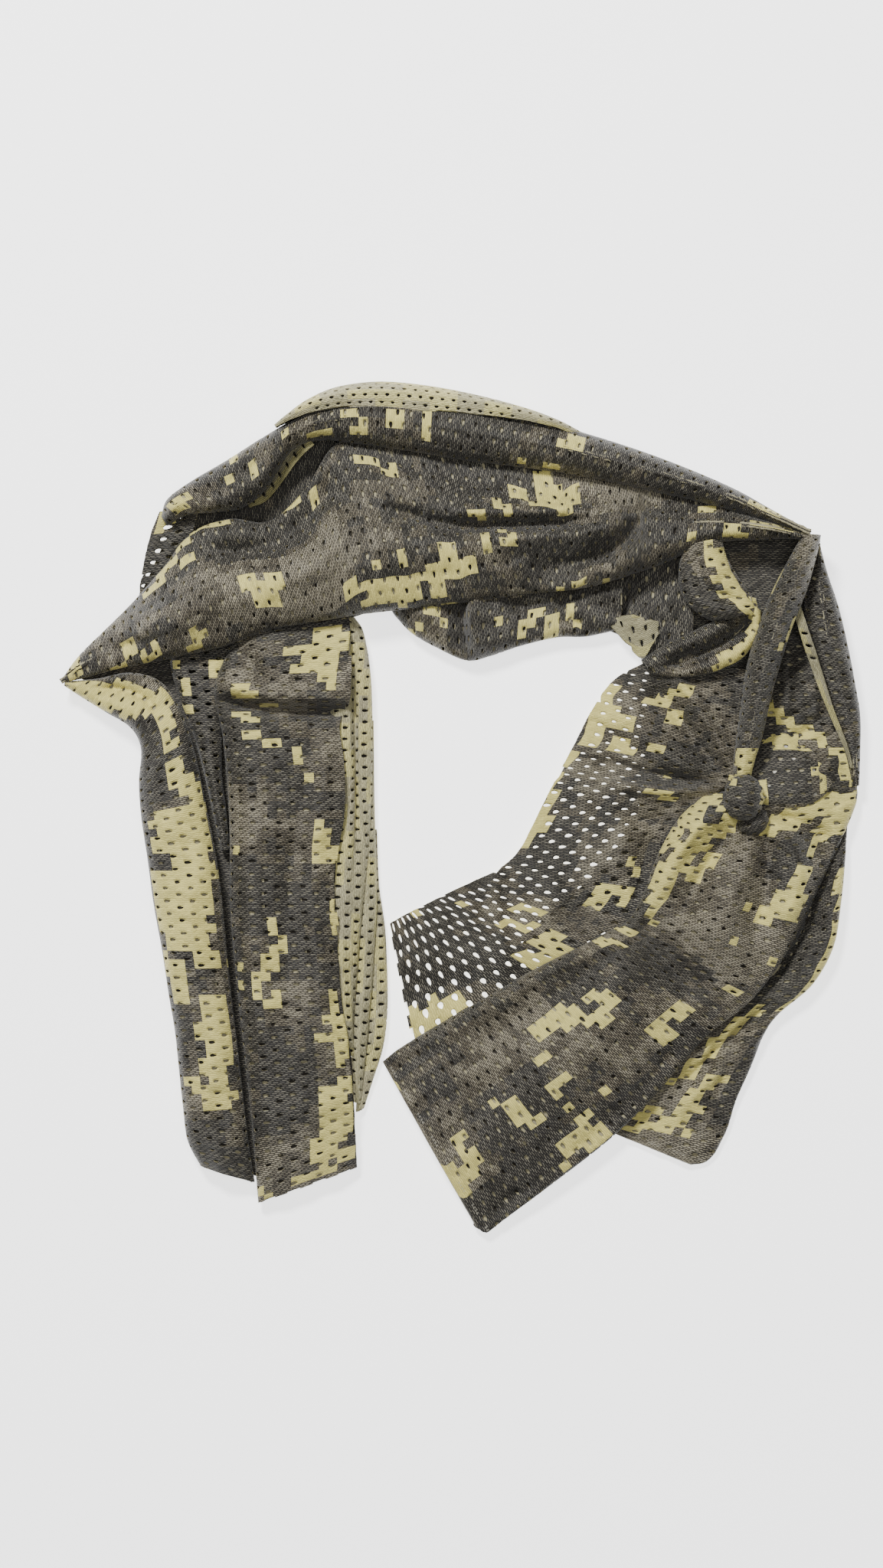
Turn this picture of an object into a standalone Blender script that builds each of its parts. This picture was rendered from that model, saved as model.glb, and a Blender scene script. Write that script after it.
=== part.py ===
"""Camouflage mesh face veil, gathered lengthwise and laid flat as an open ring.

Every object is one plain soft section of the same cloth: a roll, a pleat bundle, a panel or a tail.
Units are metres, +Z is up, the veil rests on z = 0 and the middle of its outline is over the origin.
Rails are written in millimetres, left rail point and right rail point of each station, and converted.
"""

import math

import bmesh
import bpy
from mathutils import Vector

MM = 0.001

# Cross-section of a soft section: a flat underside, rounded sides and a domed top.
DOME_POINTS = 9
DOME_POWER = 0.55
FOOT_SHARE = 0.10
STATIONS_PER_SPAN = 2
EDGE_GAP = 0.3

# Heights of the sections above the surface they rest on (mm)
PLAIN_LAYER = 3.0
THIN_LAYER = 6.0
FLAP_HEIGHT = 14.0
PANEL_HEIGHT = 18.0
LEG_HEIGHT = 24.0
ROLL_HEIGHT = 24.0
BAND_HEIGHT = 30.0
CORNER_HEIGHT = 34.0

# Hinge lines of the free ends, at the top of the meeting faces (mm)
FRONT_TAIL_AXIS = (84.5, -88.5, 14.0)
SIDE_TAIL_AXIS = (107.5, -148.0, 5.0)
LEG_END_AXIS = (-88.0, -89.0, 24.0)

# Knot: a flattened ball resting on the panel that fans out of it (mm)
KNOT_CENTRE = (136.0, 5.0, 23.0)
KNOT_RADIUS = (10.0, 9.0, 9.5)
KNOT_SEGMENTS = 20
KNOT_RINGS = 10

# Material slots: base colour, roughness
PRINTED = ("printed_mesh", (0.13, 0.12, 0.10), 0.80)
REVERSE = ("reverse_mesh", (0.45, 0.42, 0.31), 0.85)
SELVEDGE = ("selvedge_band", (0.16, 0.15, 0.13), 0.75)

# Each section: slot, hinge axis or None, then stations of (left, right, height)
SECTIONS = {
    "top_roll": (PRINTED, None, (
        ((-146, 141), (-138, 127), 12.0),
        ((-134, 154), (-119, 137), ROLL_HEIGHT),
        ((-113, 166), (-105, 143), ROLL_HEIGHT),
        ((-97, 173), (-93, 148), ROLL_HEIGHT),
        ((-71, 185), (-69, 169), ROLL_HEIGHT),
        ((-37, 188), (-37, 170), ROLL_HEIGHT),
        ((14, 184), (11, 164), ROLL_HEIGHT),
        ((65, 177), (61, 154), ROLL_HEIGHT),
        ((116, 160), (109, 146), ROLL_HEIGHT),
        ((163, 133), (159, 131), CORNER_HEIGHT),
    )),
    "top_reverse_strip": (REVERSE, None, (
        ((-97, 176), (-97, 173), FLAP_HEIGHT),
        ((-73, 196), (-71, 185), FLAP_HEIGHT),
        ((-37, 203), (-37, 188), FLAP_HEIGHT),
        ((14, 194), (14, 184), FLAP_HEIGHT),
        ((66, 180), (65, 177), FLAP_HEIGHT),
    )),
    "back_layer": (PRINTED, None, (
        ((-151, 106), (-149, 110), PLAIN_LAYER),
        ((-153, 122), (-143, 120), PLAIN_LAYER),
        ((-150, 138), (-147, 138), PLAIN_LAYER),
    )),
    "main_band": (PRINTED, None, (
        ((-189, 62), (-188, 60), 14.0),
        ((-168, 86), (-162, 65), PANEL_HEIGHT),
        ((-147, 111), (-136, 71), LEG_HEIGHT),
        ((-119, 136), (-113, 75), BAND_HEIGHT),
        ((-93, 147), (-92, 84), BAND_HEIGHT),
        ((-69, 168), (-62, 89), BAND_HEIGHT),
        ((-37, 169), (-31, 93), BAND_HEIGHT),
        ((11, 163), (14, 101), BAND_HEIGHT),
        ((61, 153), (63, 104), BAND_HEIGHT),
        ((109, 145), (106, 119), BAND_HEIGHT),
        ((159, 130), (160, 125), CORNER_HEIGHT),
    )),
    "lower_flap": (PRINTED, None, (
        ((-30, 92.5), (-30, 90), FLAP_HEIGHT),
        ((-15, 95), (-17, 80), FLAP_HEIGHT),
        ((3, 98), (2, 71), FLAP_HEIGHT),
        ((29, 101), (25, 74), FLAP_HEIGHT),
        ((49, 102), (50, 81), FLAP_HEIGHT),
        ((73, 106.5), (73, 85), FLAP_HEIGHT),
    )),
    "inner_layer": (PRINTED, None, (
        ((74, 107), (105, 117), 10.0),
        ((74, 86), (99, 90), 10.0),
        ((83, 70), (90, 76), 10.0),
    )),
    "loop_fold": (PRINTED, None, (
        ((107, 118), (158, 123), 30.0),
        ((105, 106), (145, 100), 26.0),
        ((101, 89), (138, 88), 26.0),
        ((91, 76), (136, 75), 22.0),
        ((92, 66), (115, 61), PANEL_HEIGHT),
    )),
    "corner_roll": (PRINTED, None, (
        ((161, 125), (170, 127), CORNER_HEIGHT),
        ((147, 100), (165, 99), CORNER_HEIGHT),
        ((139, 73), (154, 72), CORNER_HEIGHT),
        ((132, 42), (144, 42), 32.0),
        ((129, 18), (138, 17.5), 30.0),
    )),
    "fan_panel": (PRINTED, None, (
        ((166.5, 96), (168.5, 96), FLAP_HEIGHT),
        ((155, 71), (171, 80), FLAP_HEIGHT),
        ((145, 42), (178, 54), FLAP_HEIGHT),
        ((139, 17.5), (184, 17.5), 12.0),
    )),
    "outer_flap": (PRINTED, None, (
        ((171, 125), (172.5, 125), PANEL_HEIGHT),
        ((169.5, 98), (179, 102), PANEL_HEIGHT),
        ((172, 80), (185, 80), PANEL_HEIGHT),
        ((179, 54), (189, 49), PANEL_HEIGHT),
        ((185, 17.5), (190, 17.5), 12.0),
    )),
    "mesh_web": (PRINTED, None, (
        ((89, 60), (134, 58), THIN_LAYER),
        ((72, 56), (131, 42), THIN_LAYER),
        ((57, 39), (128, 19), THIN_LAYER),
        ((42, 13), (102, -4), THIN_LAYER),
        ((31, -12), (90, -28), THIN_LAYER),
        ((17, -31), (80, -49), THIN_LAYER),
    )),
    "back_tail": (PRINTED, None, (
        ((17, -31.5), (80, -49.5), PLAIN_LAYER),
        ((-10, -42), (37, -73), PLAIN_LAYER),
        ((-33, -56), (-28, -111), PLAIN_LAYER),
    )),
    "swirl_panel": (PRINTED, None, (
        ((128, 16.5), (190, 17), 12.0),
        ((104, -4), (186, -7), 12.0),
        ((91, -29), (180, -44), PANEL_HEIGHT),
        ((82, -50), (172, -74), PANEL_HEIGHT),
        ((72, -57), (149, -100), PANEL_HEIGHT),
        ((60, -63), (111, -112), FLAP_HEIGHT),
    )),
    "front_tail": (PRINTED, FRONT_TAIL_AXIS, (
        ((59, -64), (110, -113), FLAP_HEIGHT),
        ((36, -76), (91, -134), 16.0),
        ((3, -94), (58, -164), 16.0),
        ((-22, -109), (34, -185), 12.0),
        ((-31, -116), (16, -199), 8.0),
    )),
    "front_tail_selvedge": (SELVEDGE, FRONT_TAIL_AXIS, (
        ((-31.5, -116.5), (15.5, -199.5), 7.0),
        ((-36, -120), (11, -203), 4.0),
    )),
    "side_tail_root": (PRINTED, None, (
        ((112, -114), (146, -104), 8.0),
        ((104, -123), (135, -131), THIN_LAYER),
        ((96, -135), (120, -160), 5.0),
    )),
    "side_tail": (PRINTED, SIDE_TAIL_AXIS, (
        ((95, -136), (119, -161), 5.0),
        ((85, -144.5), (117, -165), 4.0),
        ((77, -150.5), (115.5, -166.5), 4.0),
    )),
    "side_tail_selvedge": (SELVEDGE, SIDE_TAIL_AXIS, (
        ((76, -151.2), (115, -167.2), 4.0),
        ((72, -155), (114, -171.5), 3.0),
    )),
    "left_tube": (PRINTED, None, (
        ((-187, 57), (-187, 58.6), 12.0),
        ((-176, 50), (-162, 63), PANEL_HEIGHT),
        ((-162, 42), (-136, 69.5), LEG_HEIGHT),
        ((-152, 34), (-124, 62), LEG_HEIGHT),
        ((-154, 13), (-122, 35), LEG_HEIGHT),
        ((-150, -24), (-114, -24), LEG_HEIGHT),
        ((-144, -67), (-109, -67), LEG_HEIGHT),
        ((-140, -88.8), (-107, -88.8), LEG_HEIGHT),
    )),
    "left_tube_end": (PRINTED, LEG_END_AXIS, (
        ((-140, -89.2), (-107, -89.2), LEG_HEIGHT),
        ((-136, -104), (-105, -104), LEG_HEIGHT),
        ((-132, -145), (-102, -140), 20.0),
        ((-125, -172), (-97, -179), 12.0),
    )),
    "left_panel": (PRINTED, None, (
        ((-122, 70), (-52, 87), LEG_HEIGHT),
        ((-121, 46), (-52, 49), LEG_HEIGHT),
        ((-118, 16), (-54, 16), LEG_HEIGHT),
        ((-113, -24), (-58, -24), LEG_HEIGHT),
        ((-108, -67), (-57, -67), LEG_HEIGHT),
        ((-106, -88.8), (-56, -88.8), 22.0),
    )),
    "left_panel_end": (PRINTED, LEG_END_AXIS, (
        ((-106, -89.2), (-56, -89.2), 22.0),
        ((-104, -104), (-53, -104), 22.0),
        ((-101, -140), (-50, -140), PANEL_HEIGHT),
        ((-96, -188), (-49, -171), 12.0),
    )),
    "left_pleats": (REVERSE, None, (
        ((-51, 87), (-43, 89), FLAP_HEIGHT),
        ((-51, 49), (-42, 49), FLAP_HEIGHT),
        ((-53, 16), (-41, 16), FLAP_HEIGHT),
        ((-57, -24), (-39, -24), FLAP_HEIGHT),
        ((-56, -67), (-36, -67), FLAP_HEIGHT),
        ((-55, -88.8), (-36, -88.8), FLAP_HEIGHT),
    )),
    "left_pleats_end": (REVERSE, LEG_END_AXIS, (
        ((-55, -89.2), (-36, -89.2), FLAP_HEIGHT),
        ((-52, -104), (-36, -104), 12.0),
        ((-50, -120), (-39.5, -120), 10.0),
        ((-48.6, -142), (-45, -143), THIN_LAYER),
    )),
}


def clear_scene():
    for obj in list(bpy.data.objects):
        bpy.data.objects.remove(obj, do_unlink=True)


def material(slot):
    name, colour, rough = slot
    found = bpy.data.materials.get(name)
    if found:
        return found
    mat = bpy.data.materials.new(name)
    mat.use_nodes = True
    shader = mat.node_tree.nodes["Principled BSDF"]
    shader.inputs["Base Color"].default_value = (*colour, 1.0)
    shader.inputs["Roughness"].default_value = rough
    shader.inputs["Metallic"].default_value = 0.0
    return mat


def profile(left, right, height):
    """Points of one closed cross-section, from the left foot over the top to the right foot."""
    across = right - left
    width = across.length
    side = across / width
    start = left + side * EDGE_GAP
    usable = width - 2.0 * EDGE_GAP
    foot = usable * FOOT_SHARE
    points = [start + side * foot]
    for i in range(DOME_POINTS):
        angle = math.pi * (i + 0.5) / DOME_POINTS
        along = 0.5 - 0.5 * math.cos(angle)
        rise = math.sin(angle) ** DOME_POWER
        points.append(start + side * (usable * along) + Vector((0.0, 0.0, height * rise)))
    points.append(start + side * (usable - foot))
    return points


def stations_of(rows):
    """Evenly divides each span between two written stations."""
    out = []
    for (l0, r0, h0), (l1, r1, h1) in zip(rows, rows[1:]):
        for k in range(STATIONS_PER_SPAN):
            t = k / STATIONS_PER_SPAN
            left = Vector((*l0, 0.0)).lerp(Vector((*l1, 0.0)), t)
            right = Vector((*r0, 0.0)).lerp(Vector((*r1, 0.0)), t)
            out.append((left, right, h0 + (h1 - h0) * t))
    last_left, last_right, last_height = rows[-1]
    out.append((Vector((*last_left, 0.0)), Vector((*last_right, 0.0)), last_height))
    return out


def add_object(name, mesh, slot, axis_point):
    obj = bpy.data.objects.new(name, mesh)
    if axis_point is not None:
        pivot = Vector(axis_point) * MM
        for vertex in mesh.vertices:
            vertex.co -= pivot
        obj.location = pivot
    mesh.materials.append(material(slot))
    parts.objects.link(obj)
    return obj


def soft_section(name, slot, axis_point, rows):
    """One closed soft section lofted through its stations, flat on the surface."""
    bm = bmesh.new()
    rings = []
    for left, right, height in stations_of(rows):
        rings.append([bm.verts.new(p * MM) for p in profile(left, right, height)])
    count = len(rings[0])
    for a, b in zip(rings, rings[1:]):
        for i in range(count):
            j = (i + 1) % count
            bm.faces.new((a[i], a[j], b[j], b[i]))
    bm.faces.new(rings[0])
    bm.faces.new(list(reversed(rings[-1])))
    bmesh.ops.recalc_face_normals(bm, faces=bm.faces)
    mesh = bpy.data.meshes.new(name)
    bm.to_mesh(mesh)
    bm.free()
    for face in mesh.polygons:
        face.use_smooth = len(face.vertices) == 4 and face.normal.z > -0.9
    return add_object(name, mesh, slot, axis_point)


def knot(name):
    """The tight ball of gathered cloth, a flattened sphere."""
    bm = bmesh.new()
    bmesh.ops.create_uvsphere(bm, u_segments=KNOT_SEGMENTS, v_segments=KNOT_RINGS, radius=1.0)
    for vertex in bm.verts:
        for k in range(3):
            vertex.co[k] = (vertex.co[k] * KNOT_RADIUS[k] + KNOT_CENTRE[k]) * MM
    mesh = bpy.data.meshes.new(name)
    bm.to_mesh(mesh)
    bm.free()
    for face in mesh.polygons:
        face.use_smooth = True
    return add_object(name, mesh, PRINTED, None)


clear_scene()
parts = bpy.data.collections.new("camo_face_mask")
bpy.context.scene.collection.children.link(parts)
for section_name, (section_slot, section_axis, section_rows) in SECTIONS.items():
    soft_section(section_name, section_slot, section_axis, section_rows)
knot("knot")
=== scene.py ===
"""Camouflage mesh face veil, gathered, knotted and laid flat as an open ring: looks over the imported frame.

Each visible section of the cloth is a sheet: rows in millimetres give its two edges, its underside and its
top at each station, fold lines raise or sink it, and the warp-knit eyelets are cut through it as real holes.
All lengths in the tables are millimetres; the meshes are made in metres.
"""

import math

import bpy
import numpy as np
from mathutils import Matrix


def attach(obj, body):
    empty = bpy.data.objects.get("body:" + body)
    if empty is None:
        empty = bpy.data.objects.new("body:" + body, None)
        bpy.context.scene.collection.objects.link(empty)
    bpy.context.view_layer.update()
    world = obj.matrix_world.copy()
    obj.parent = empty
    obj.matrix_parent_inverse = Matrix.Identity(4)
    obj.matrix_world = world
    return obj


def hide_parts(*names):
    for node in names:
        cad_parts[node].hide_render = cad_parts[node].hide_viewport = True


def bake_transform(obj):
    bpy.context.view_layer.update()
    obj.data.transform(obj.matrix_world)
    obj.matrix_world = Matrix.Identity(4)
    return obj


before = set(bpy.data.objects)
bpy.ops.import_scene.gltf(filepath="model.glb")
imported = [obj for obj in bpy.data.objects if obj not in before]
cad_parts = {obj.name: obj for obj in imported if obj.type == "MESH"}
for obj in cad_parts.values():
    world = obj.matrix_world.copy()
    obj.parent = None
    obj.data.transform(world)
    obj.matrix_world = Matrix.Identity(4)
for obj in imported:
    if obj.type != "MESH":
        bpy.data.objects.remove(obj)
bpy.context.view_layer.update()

MM = 0.001

# The cloth, in mm: the staggered lattice of eyelets, the sheet, and the layer that shows through it.
EYELET_ACROSS = 6.4
EYELET_ALONG = 6.2
EYELET_HALF_LONG = 1.55
EYELET_HALF_SHORT = 0.80
CLOTH_THICKNESS = 0.45
LINING_DEPTH = 1.2
LINING_GRID = 5.5
LINING_LOWEST = 0.55
SHEET_LOWEST = 0.6
SELVEDGE_WIDTH = 5.5
OUTER_THREAD = 0.7
LOOP_ROW = 4.4
LOOP_ROW_HALF = 0.5
LOOP_PITCH = 1.6
NARROW_SHEET = 9.0

# An eyelet against the usual one: its length, width and growth along the sheet, and how far it varies.
PLAIN_EYELET = (1.0, 1.0, 0.0)
EYELET_VARIES = (0.82, 1.15)

# Shares of a whole tile: one too thin to keep, one wide enough for an eyelet, and a filled hole's half size.
SLIVER = 0.22
WHOLE_TILE = 0.8
CAP_SHARE = 0.2

# How finely a section is sampled: rows along it, points over its top, round each edge and curled under.
STATIONS = 240
TOP_POINTS = 60
EDGE_POINTS = 11
UNDER_POINTS = 4
EDGE_START, EDGE_STOP = -90, 78
TABLE_STEP = 0.75
KNOT_ROWS = 60
KNOT_COLS = 72

# Folds and wrinkles: their heights against the tables, how a fold fades at its ends, and how sharp it is.
FOLD_SCALE = 1.8
FOLD_END_SLOPE, FOLD_END_LEAST = 5, 0.25
CREASE_POWER, RIDGE_POWER = 1.35, 2.0
WRINKLE_SCALE = 1.5
WRINKLE_WAVES = 7
FINE_WRINKLE_SIZE, FINE_WRINKLE_HEIGHT = 0.38, 0.4

# The knit, in mm: its ribs, its columns of stitches, and how they sway, shift, gape and vary in tone.
RIB_PITCH = 0.86
COLUMN_PITCH = 3.2
STITCH_SWAY = 0.13
BRICK_SHIFT = 0.37
GAP_SLOPE, GAP_DEPTH = 5.0, 0.65
STITCH_NOISE = 0.26
STITCH_RELIEF = 0.4
DRIFT_SCALE = 160.0
DRIFT = (0.26, 0.24)

# The print: its blocks in mm, its noises, how much it takes of coarse, middle and block noise, its levels.
PRINT_ACROSS = 4.6
PRINT_ALONG = 4.3
PRINT_SHIFT = (0.371, 0.173, 0.29)
COARSE_SCALE = 26.0
MIDDLE_SCALE = 105.0
GREY_MIX = (0.66, 0.34)
PALE_MIX = (0.15, 0.42, 0.12)
RARE_BLOCK, RARE_LIFT = 0.90, 0.05
BROWN_LEVEL = 0.50
GREY_LEVEL = 0.575
PALE_LEVEL = 0.475
PALE_STRENGTH = 0.3
GREY_ONLY = 0.12
BLOB_FADE = (-1.6, 2.0)
REVERSE_SHIFT = (0.211, 0.413, 0.17)
REVERSE_SCALE = 60.0
LINING_SCALE, LINING_LEVEL = 70.0, 0.46
SPECK_SCALE, SPECK_LEVEL = 1500.0, 0.70

# Painted shade in the gaps and painted highlights on the crests, by the height and tone of a stitch, as scale
# and offset, then roughness and bump.
PAINTED_STITCH_LIGHT_POWER = 2.5
PAINTED_STITCH_LIGHT = (3.6, 0.22)
PAINTED_STITCH_LIGHT_TONE = (2.6, -0.3)
PALE_SHADE = (0.40, 0.78)
PALE_TONE = (1.0, 0.5)
REVERSE_SHADE = (0.95, 0.50)
REVERSE_TONE = (1.2, 0.4)
RIM_TONE = (0.5, 0.75)
FLECK_HIGHLIGHT_LEVEL, FLECK_HIGHLIGHT_SLOPE = 0.32, 2.6
LOOP_SHOWS = 0.35
CLOTH_SHEEN = 0.12
PRINT_ROUGHNESS = (0.3, 0.45)
REVERSE_ROUGHNESS = 0.75
PLAIN_ROUGHNESS = 0.85
PRINT_BUMP = 0.55
REVERSE_BUMP = 0.6
SMOOTH_BUMP = 0.3

# Colours, linear: the print, the reverse, the threads with their painted highlight, and the layer that shows
# through the eyelets, with black as painted shadow between layers.
CHARCOAL = (0.027, 0.024, 0.018)
BROWN_GREY = (0.066, 0.056, 0.037)
MID_GREY = (0.132, 0.116, 0.080)
PALE = (0.56, 0.495, 0.158)
REVERSE_PALE = (0.38, 0.35, 0.20)
REVERSE_KHAKI = (0.52, 0.47, 0.20)
REVERSE_DULL = (0.36, 0.33, 0.20)
REVERSE_SPECK = (0.78, 0.77, 0.66)
# A painted highlight where the crest of a thread catches the light.
FLECK_HIGHLIGHT = (0.30, 0.28, 0.22)
RIM = (0.16, 0.14, 0.08)
SELVEDGE_LOOP = (0.42, 0.40, 0.33)
LINING_OLIVE = (0.27, 0.245, 0.155)
LINING_DARK = (0.018, 0.015, 0.010)
# Black for the sheet of painted shadow seen through eyelets between layers.
PAINTED_SHADOW_BLACK = (0.012, 0.010, 0.007)
LINING_PALE = (0.50, 0.48, 0.42)


# ---------------------------------------------------------------- surfaces


def spline(points, count):
    """Catmull-Rom through the rows of points, count samples, evenly spaced along the given rows."""
    p = np.asarray(points, float)
    p = np.vstack([2 * p[0] - p[1], p, 2 * p[-1] - p[-2]])
    u = np.linspace(0, len(p) - 3 - 1e-9, count)
    k = u.astype(int)
    t = (u - k)[:, None]
    a, b, c, d = p[k], p[k + 1], p[k + 2], p[k + 3]
    return 0.5 * (2 * b + (c - a) * t + (2 * a - 5 * b + 4 * c - d) * t**2 + (3 * b - a - 3 * c + d) * t**3)


def line_distance(xy, line):
    """Signed distance from points to a polyline and how far along it the nearest point is, 0 to 1."""
    pts = spline(line, 12 * len(line))
    seg = np.diff(pts, axis=0)
    length = np.linalg.norm(seg, axis=1)
    total = length.sum()
    start = np.concatenate([[0], np.cumsum(length)[:-1]])
    best = np.full(len(xy), 1e9)
    side = np.zeros(len(xy))
    along = np.zeros(len(xy))
    for k in range(len(seg)):
        rel = xy - pts[k]
        raw = rel @ seg[k] / length[k] ** 2
        t = np.clip(raw, 0, 1)
        off = rel - t[:, None] * seg[k]
        d = np.linalg.norm(off, axis=1)
        near = d < best
        best[near] = d[near]
        cross = seg[k][0] * rel[:, 1] - seg[k][1] * rel[:, 0]
        side[near] = np.sign(cross[near])
        along[near] = (start[k] + t[near] * length[k]) / total
    return best * side, along


def ripple(xy, seed, size):
    """A smooth random field of unit height made of a few slanted waves."""
    rng = np.random.default_rng(seed)
    out = np.zeros(len(xy))
    for _ in range(WRINKLE_WAVES):
        angle = rng.uniform(0, 2 * math.pi)
        wave = size * rng.uniform(0.6, 1.7)
        phase = rng.uniform(0, 2 * math.pi)
        out += np.sin((xy[:, 0] * math.cos(angle) + xy[:, 1] * math.sin(angle)) * 2 * math.pi / wave + phase)
    return out / 2.6


def full_rows(rows):
    """Rows of six numbers: one that has only four is as low and as high as the row before it."""
    out = []
    for row in rows:
        out.append(row if len(row) == 6 else (*row, *out[-1][4:]))
    return out


def section_grid(rows, curl, dome, rounding, under, slope):
    """Grid of points in mm, one row per station and one column per place across, and the top's weight.

    A row of the table is left x, left y, right x, right y, underside, top. curl says which edges turn under,
    dome raises the middle, rounding and under shape the turned edge, and slope lowers the left and right.
    """
    r = spline(full_rows(rows), STATIONS)
    left, right, low, high = r[:, 0:2], r[:, 2:4], r[:, 4], r[:, 5]
    span = right - left
    width = np.linalg.norm(span, axis=1)
    half = np.maximum((high - low) / 2, 0.3)
    rx = np.minimum(half * rounding, width * 0.49)
    cols, weights = [], []

    def put(x, z, w):
        part = x / width
        drop = slope[0] * (1 - part) ** 2 + slope[1] * part**2
        cols.append(np.column_stack([left + span * part[:, None], low + (z - low) * (1 - drop)]))
        weights.append(w)

    mid = (low + high) / 2
    tuck = np.minimum(under, width * 0.3)

    def turn(a, from_right):
        x = rx * (1 - math.cos(math.radians(a)))
        put(width - x if from_right else x, mid + half * math.sin(math.radians(a)), max(0, a / 90) ** 2)

    if curl[0]:
        for k in range(UNDER_POINTS):
            put(rx + tuck * (1 - k / UNDER_POINTS), low, 0.0)
        for a in np.linspace(EDGE_START, EDGE_STOP, EDGE_POINTS):
            turn(a, False)
    first = rx if curl[0] else rx * 0
    last = width - rx if curl[1] else width
    for u in np.linspace(0, 1, TOP_POINTS):
        crown = dome * (1 - (2 * u - 1) ** 2) * np.minimum(1, width / 40)
        put(first + (last - first) * u, high + crown, 1.0)
    if curl[1]:
        for a in np.linspace(EDGE_STOP, EDGE_START, EDGE_POINTS):
            turn(a, True)
        for k in range(UNDER_POINTS):
            put(width - rx - tuck * (k + 1) / UNDER_POINTS, low, 0.0)
    grid = np.stack(cols, axis=1)
    return grid, np.tile(np.array(weights), (STATIONS, 1))


def folded(grid, weight, folds, wrinkle, seed, size):
    """Raises and sinks the top along fold lines: points, height, width on each side, and widening."""
    shape = grid.shape[:2]
    xy = grid[:, :, :2].reshape(-1, 2)
    fine = ripple(xy, seed + 50, size * FINE_WRINKLE_SIZE) * FINE_WRINKLE_HEIGHT
    lift = (ripple(xy, seed, size) + fine) * wrinkle * WRINKLE_SCALE
    for line, height, wide_left, wide_right, *grow in folds:
        d, along = line_distance(xy, line)
        w = np.where(d > 0, wide_left, wide_right) * (1 + (grow[0] if grow else 0.0) * along)
        ends = np.clip(np.minimum(along, 1 - along) * FOLD_END_SLOPE + FOLD_END_LEAST, 0, 1)
        sharp = CREASE_POWER if height < 0 else RIDGE_POWER
        lift += height * FOLD_SCALE * np.exp(-(np.abs(d / w) ** sharp)) * ends
    out = grid.copy()
    out[:, :, 2] += lift.reshape(shape) * weight
    for _ in range(2):
        out[:, 1:-1] = 0.25 * out[:, :-2] + 0.5 * out[:, 1:-1] + 0.25 * out[:, 2:]
    out[:, :, 2] = np.maximum(out[:, :, 2], SHEET_LOWEST)
    return out


def grid_normals(grid):
    """Unit normals of a grid, pointing up at the middle of the sheet."""
    across = np.gradient(grid, axis=1)
    along = np.gradient(grid, axis=0)
    n = np.cross(across, along)
    n /= np.maximum(np.linalg.norm(n, axis=2, keepdims=True), 1e-9)
    middle = grid.shape[1] // 2
    return n if n[:, middle, 2].sum() > 0 else -n


class Chart:
    """Flat cloth coordinates (across, along) in mm laid over a grid of points."""

    def __init__(self, grid):
        rows, cols = grid.shape[:2]
        middle = cols // 2
        step = np.linalg.norm(np.diff(grid, axis=1), axis=2)
        s = np.concatenate([np.zeros((rows, 1)), np.cumsum(step, axis=1)], axis=1)
        s -= s[:, middle : middle + 1]
        run = np.linalg.norm(np.diff(grid[:, middle], axis=0), axis=1)
        self.along = np.concatenate([[0], np.cumsum(run)])
        self.low, self.high = s[:, 0], s[:, -1]
        self.start, self.stop = self.low.min(), self.high.max()
        count = int((self.stop - self.start) / TABLE_STEP) + 2
        self.s = self.start + np.arange(count) * TABLE_STEP
        self.table = np.empty((rows, count, 3))
        for i in range(rows):
            for c in range(3):
                self.table[i, :, c] = np.interp(self.s, s[i], grid[i, :, c])
        self.length = self.along[-1]

    def clip(self, s, t):
        """The place nearest to s, t that is on the cloth, and the grid row it falls in."""
        t = np.clip(t, 0, self.length)
        row = np.interp(t, self.along, np.arange(len(self.along)))
        low = np.interp(row, np.arange(len(self.low)), self.low)
        high = np.interp(row, np.arange(len(self.high)), self.high)
        return np.clip(s, low, high), t, row

    def at(self, s, t):
        """Points in mm at flat coordinates s, t."""
        s, t, row = self.clip(s, t)
        i = np.minimum(row.astype(int), len(self.along) - 2)
        f = (row - i)[:, None]
        k = np.clip((s - self.start) / TABLE_STEP, 0, len(self.s) - 1.001)
        j = k.astype(int)
        g = (k - j)[:, None]
        a = self.table[i, j] * (1 - g) + self.table[i, j + 1] * g
        b = self.table[i + 1, j] * (1 - g) + self.table[i + 1, j + 1] * g
        return a * (1 - f) + b * f

    def mean_width(self):
        return float((self.high - self.low).mean())


RING = np.array(
    [(k, 0) for k in range(4)]
    + [(4, k) for k in range(4)]
    + [(4 - k, 4) for k in range(4)]
    + [(0, 4 - k) for k in range(4)]
)
TURN = np.radians(-135 + 22.5 * np.arange(16))
HOLE = np.column_stack([np.cos(TURN), np.sin(TURN) * (0.88 - 0.32 * np.cos(TURN))])


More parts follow.
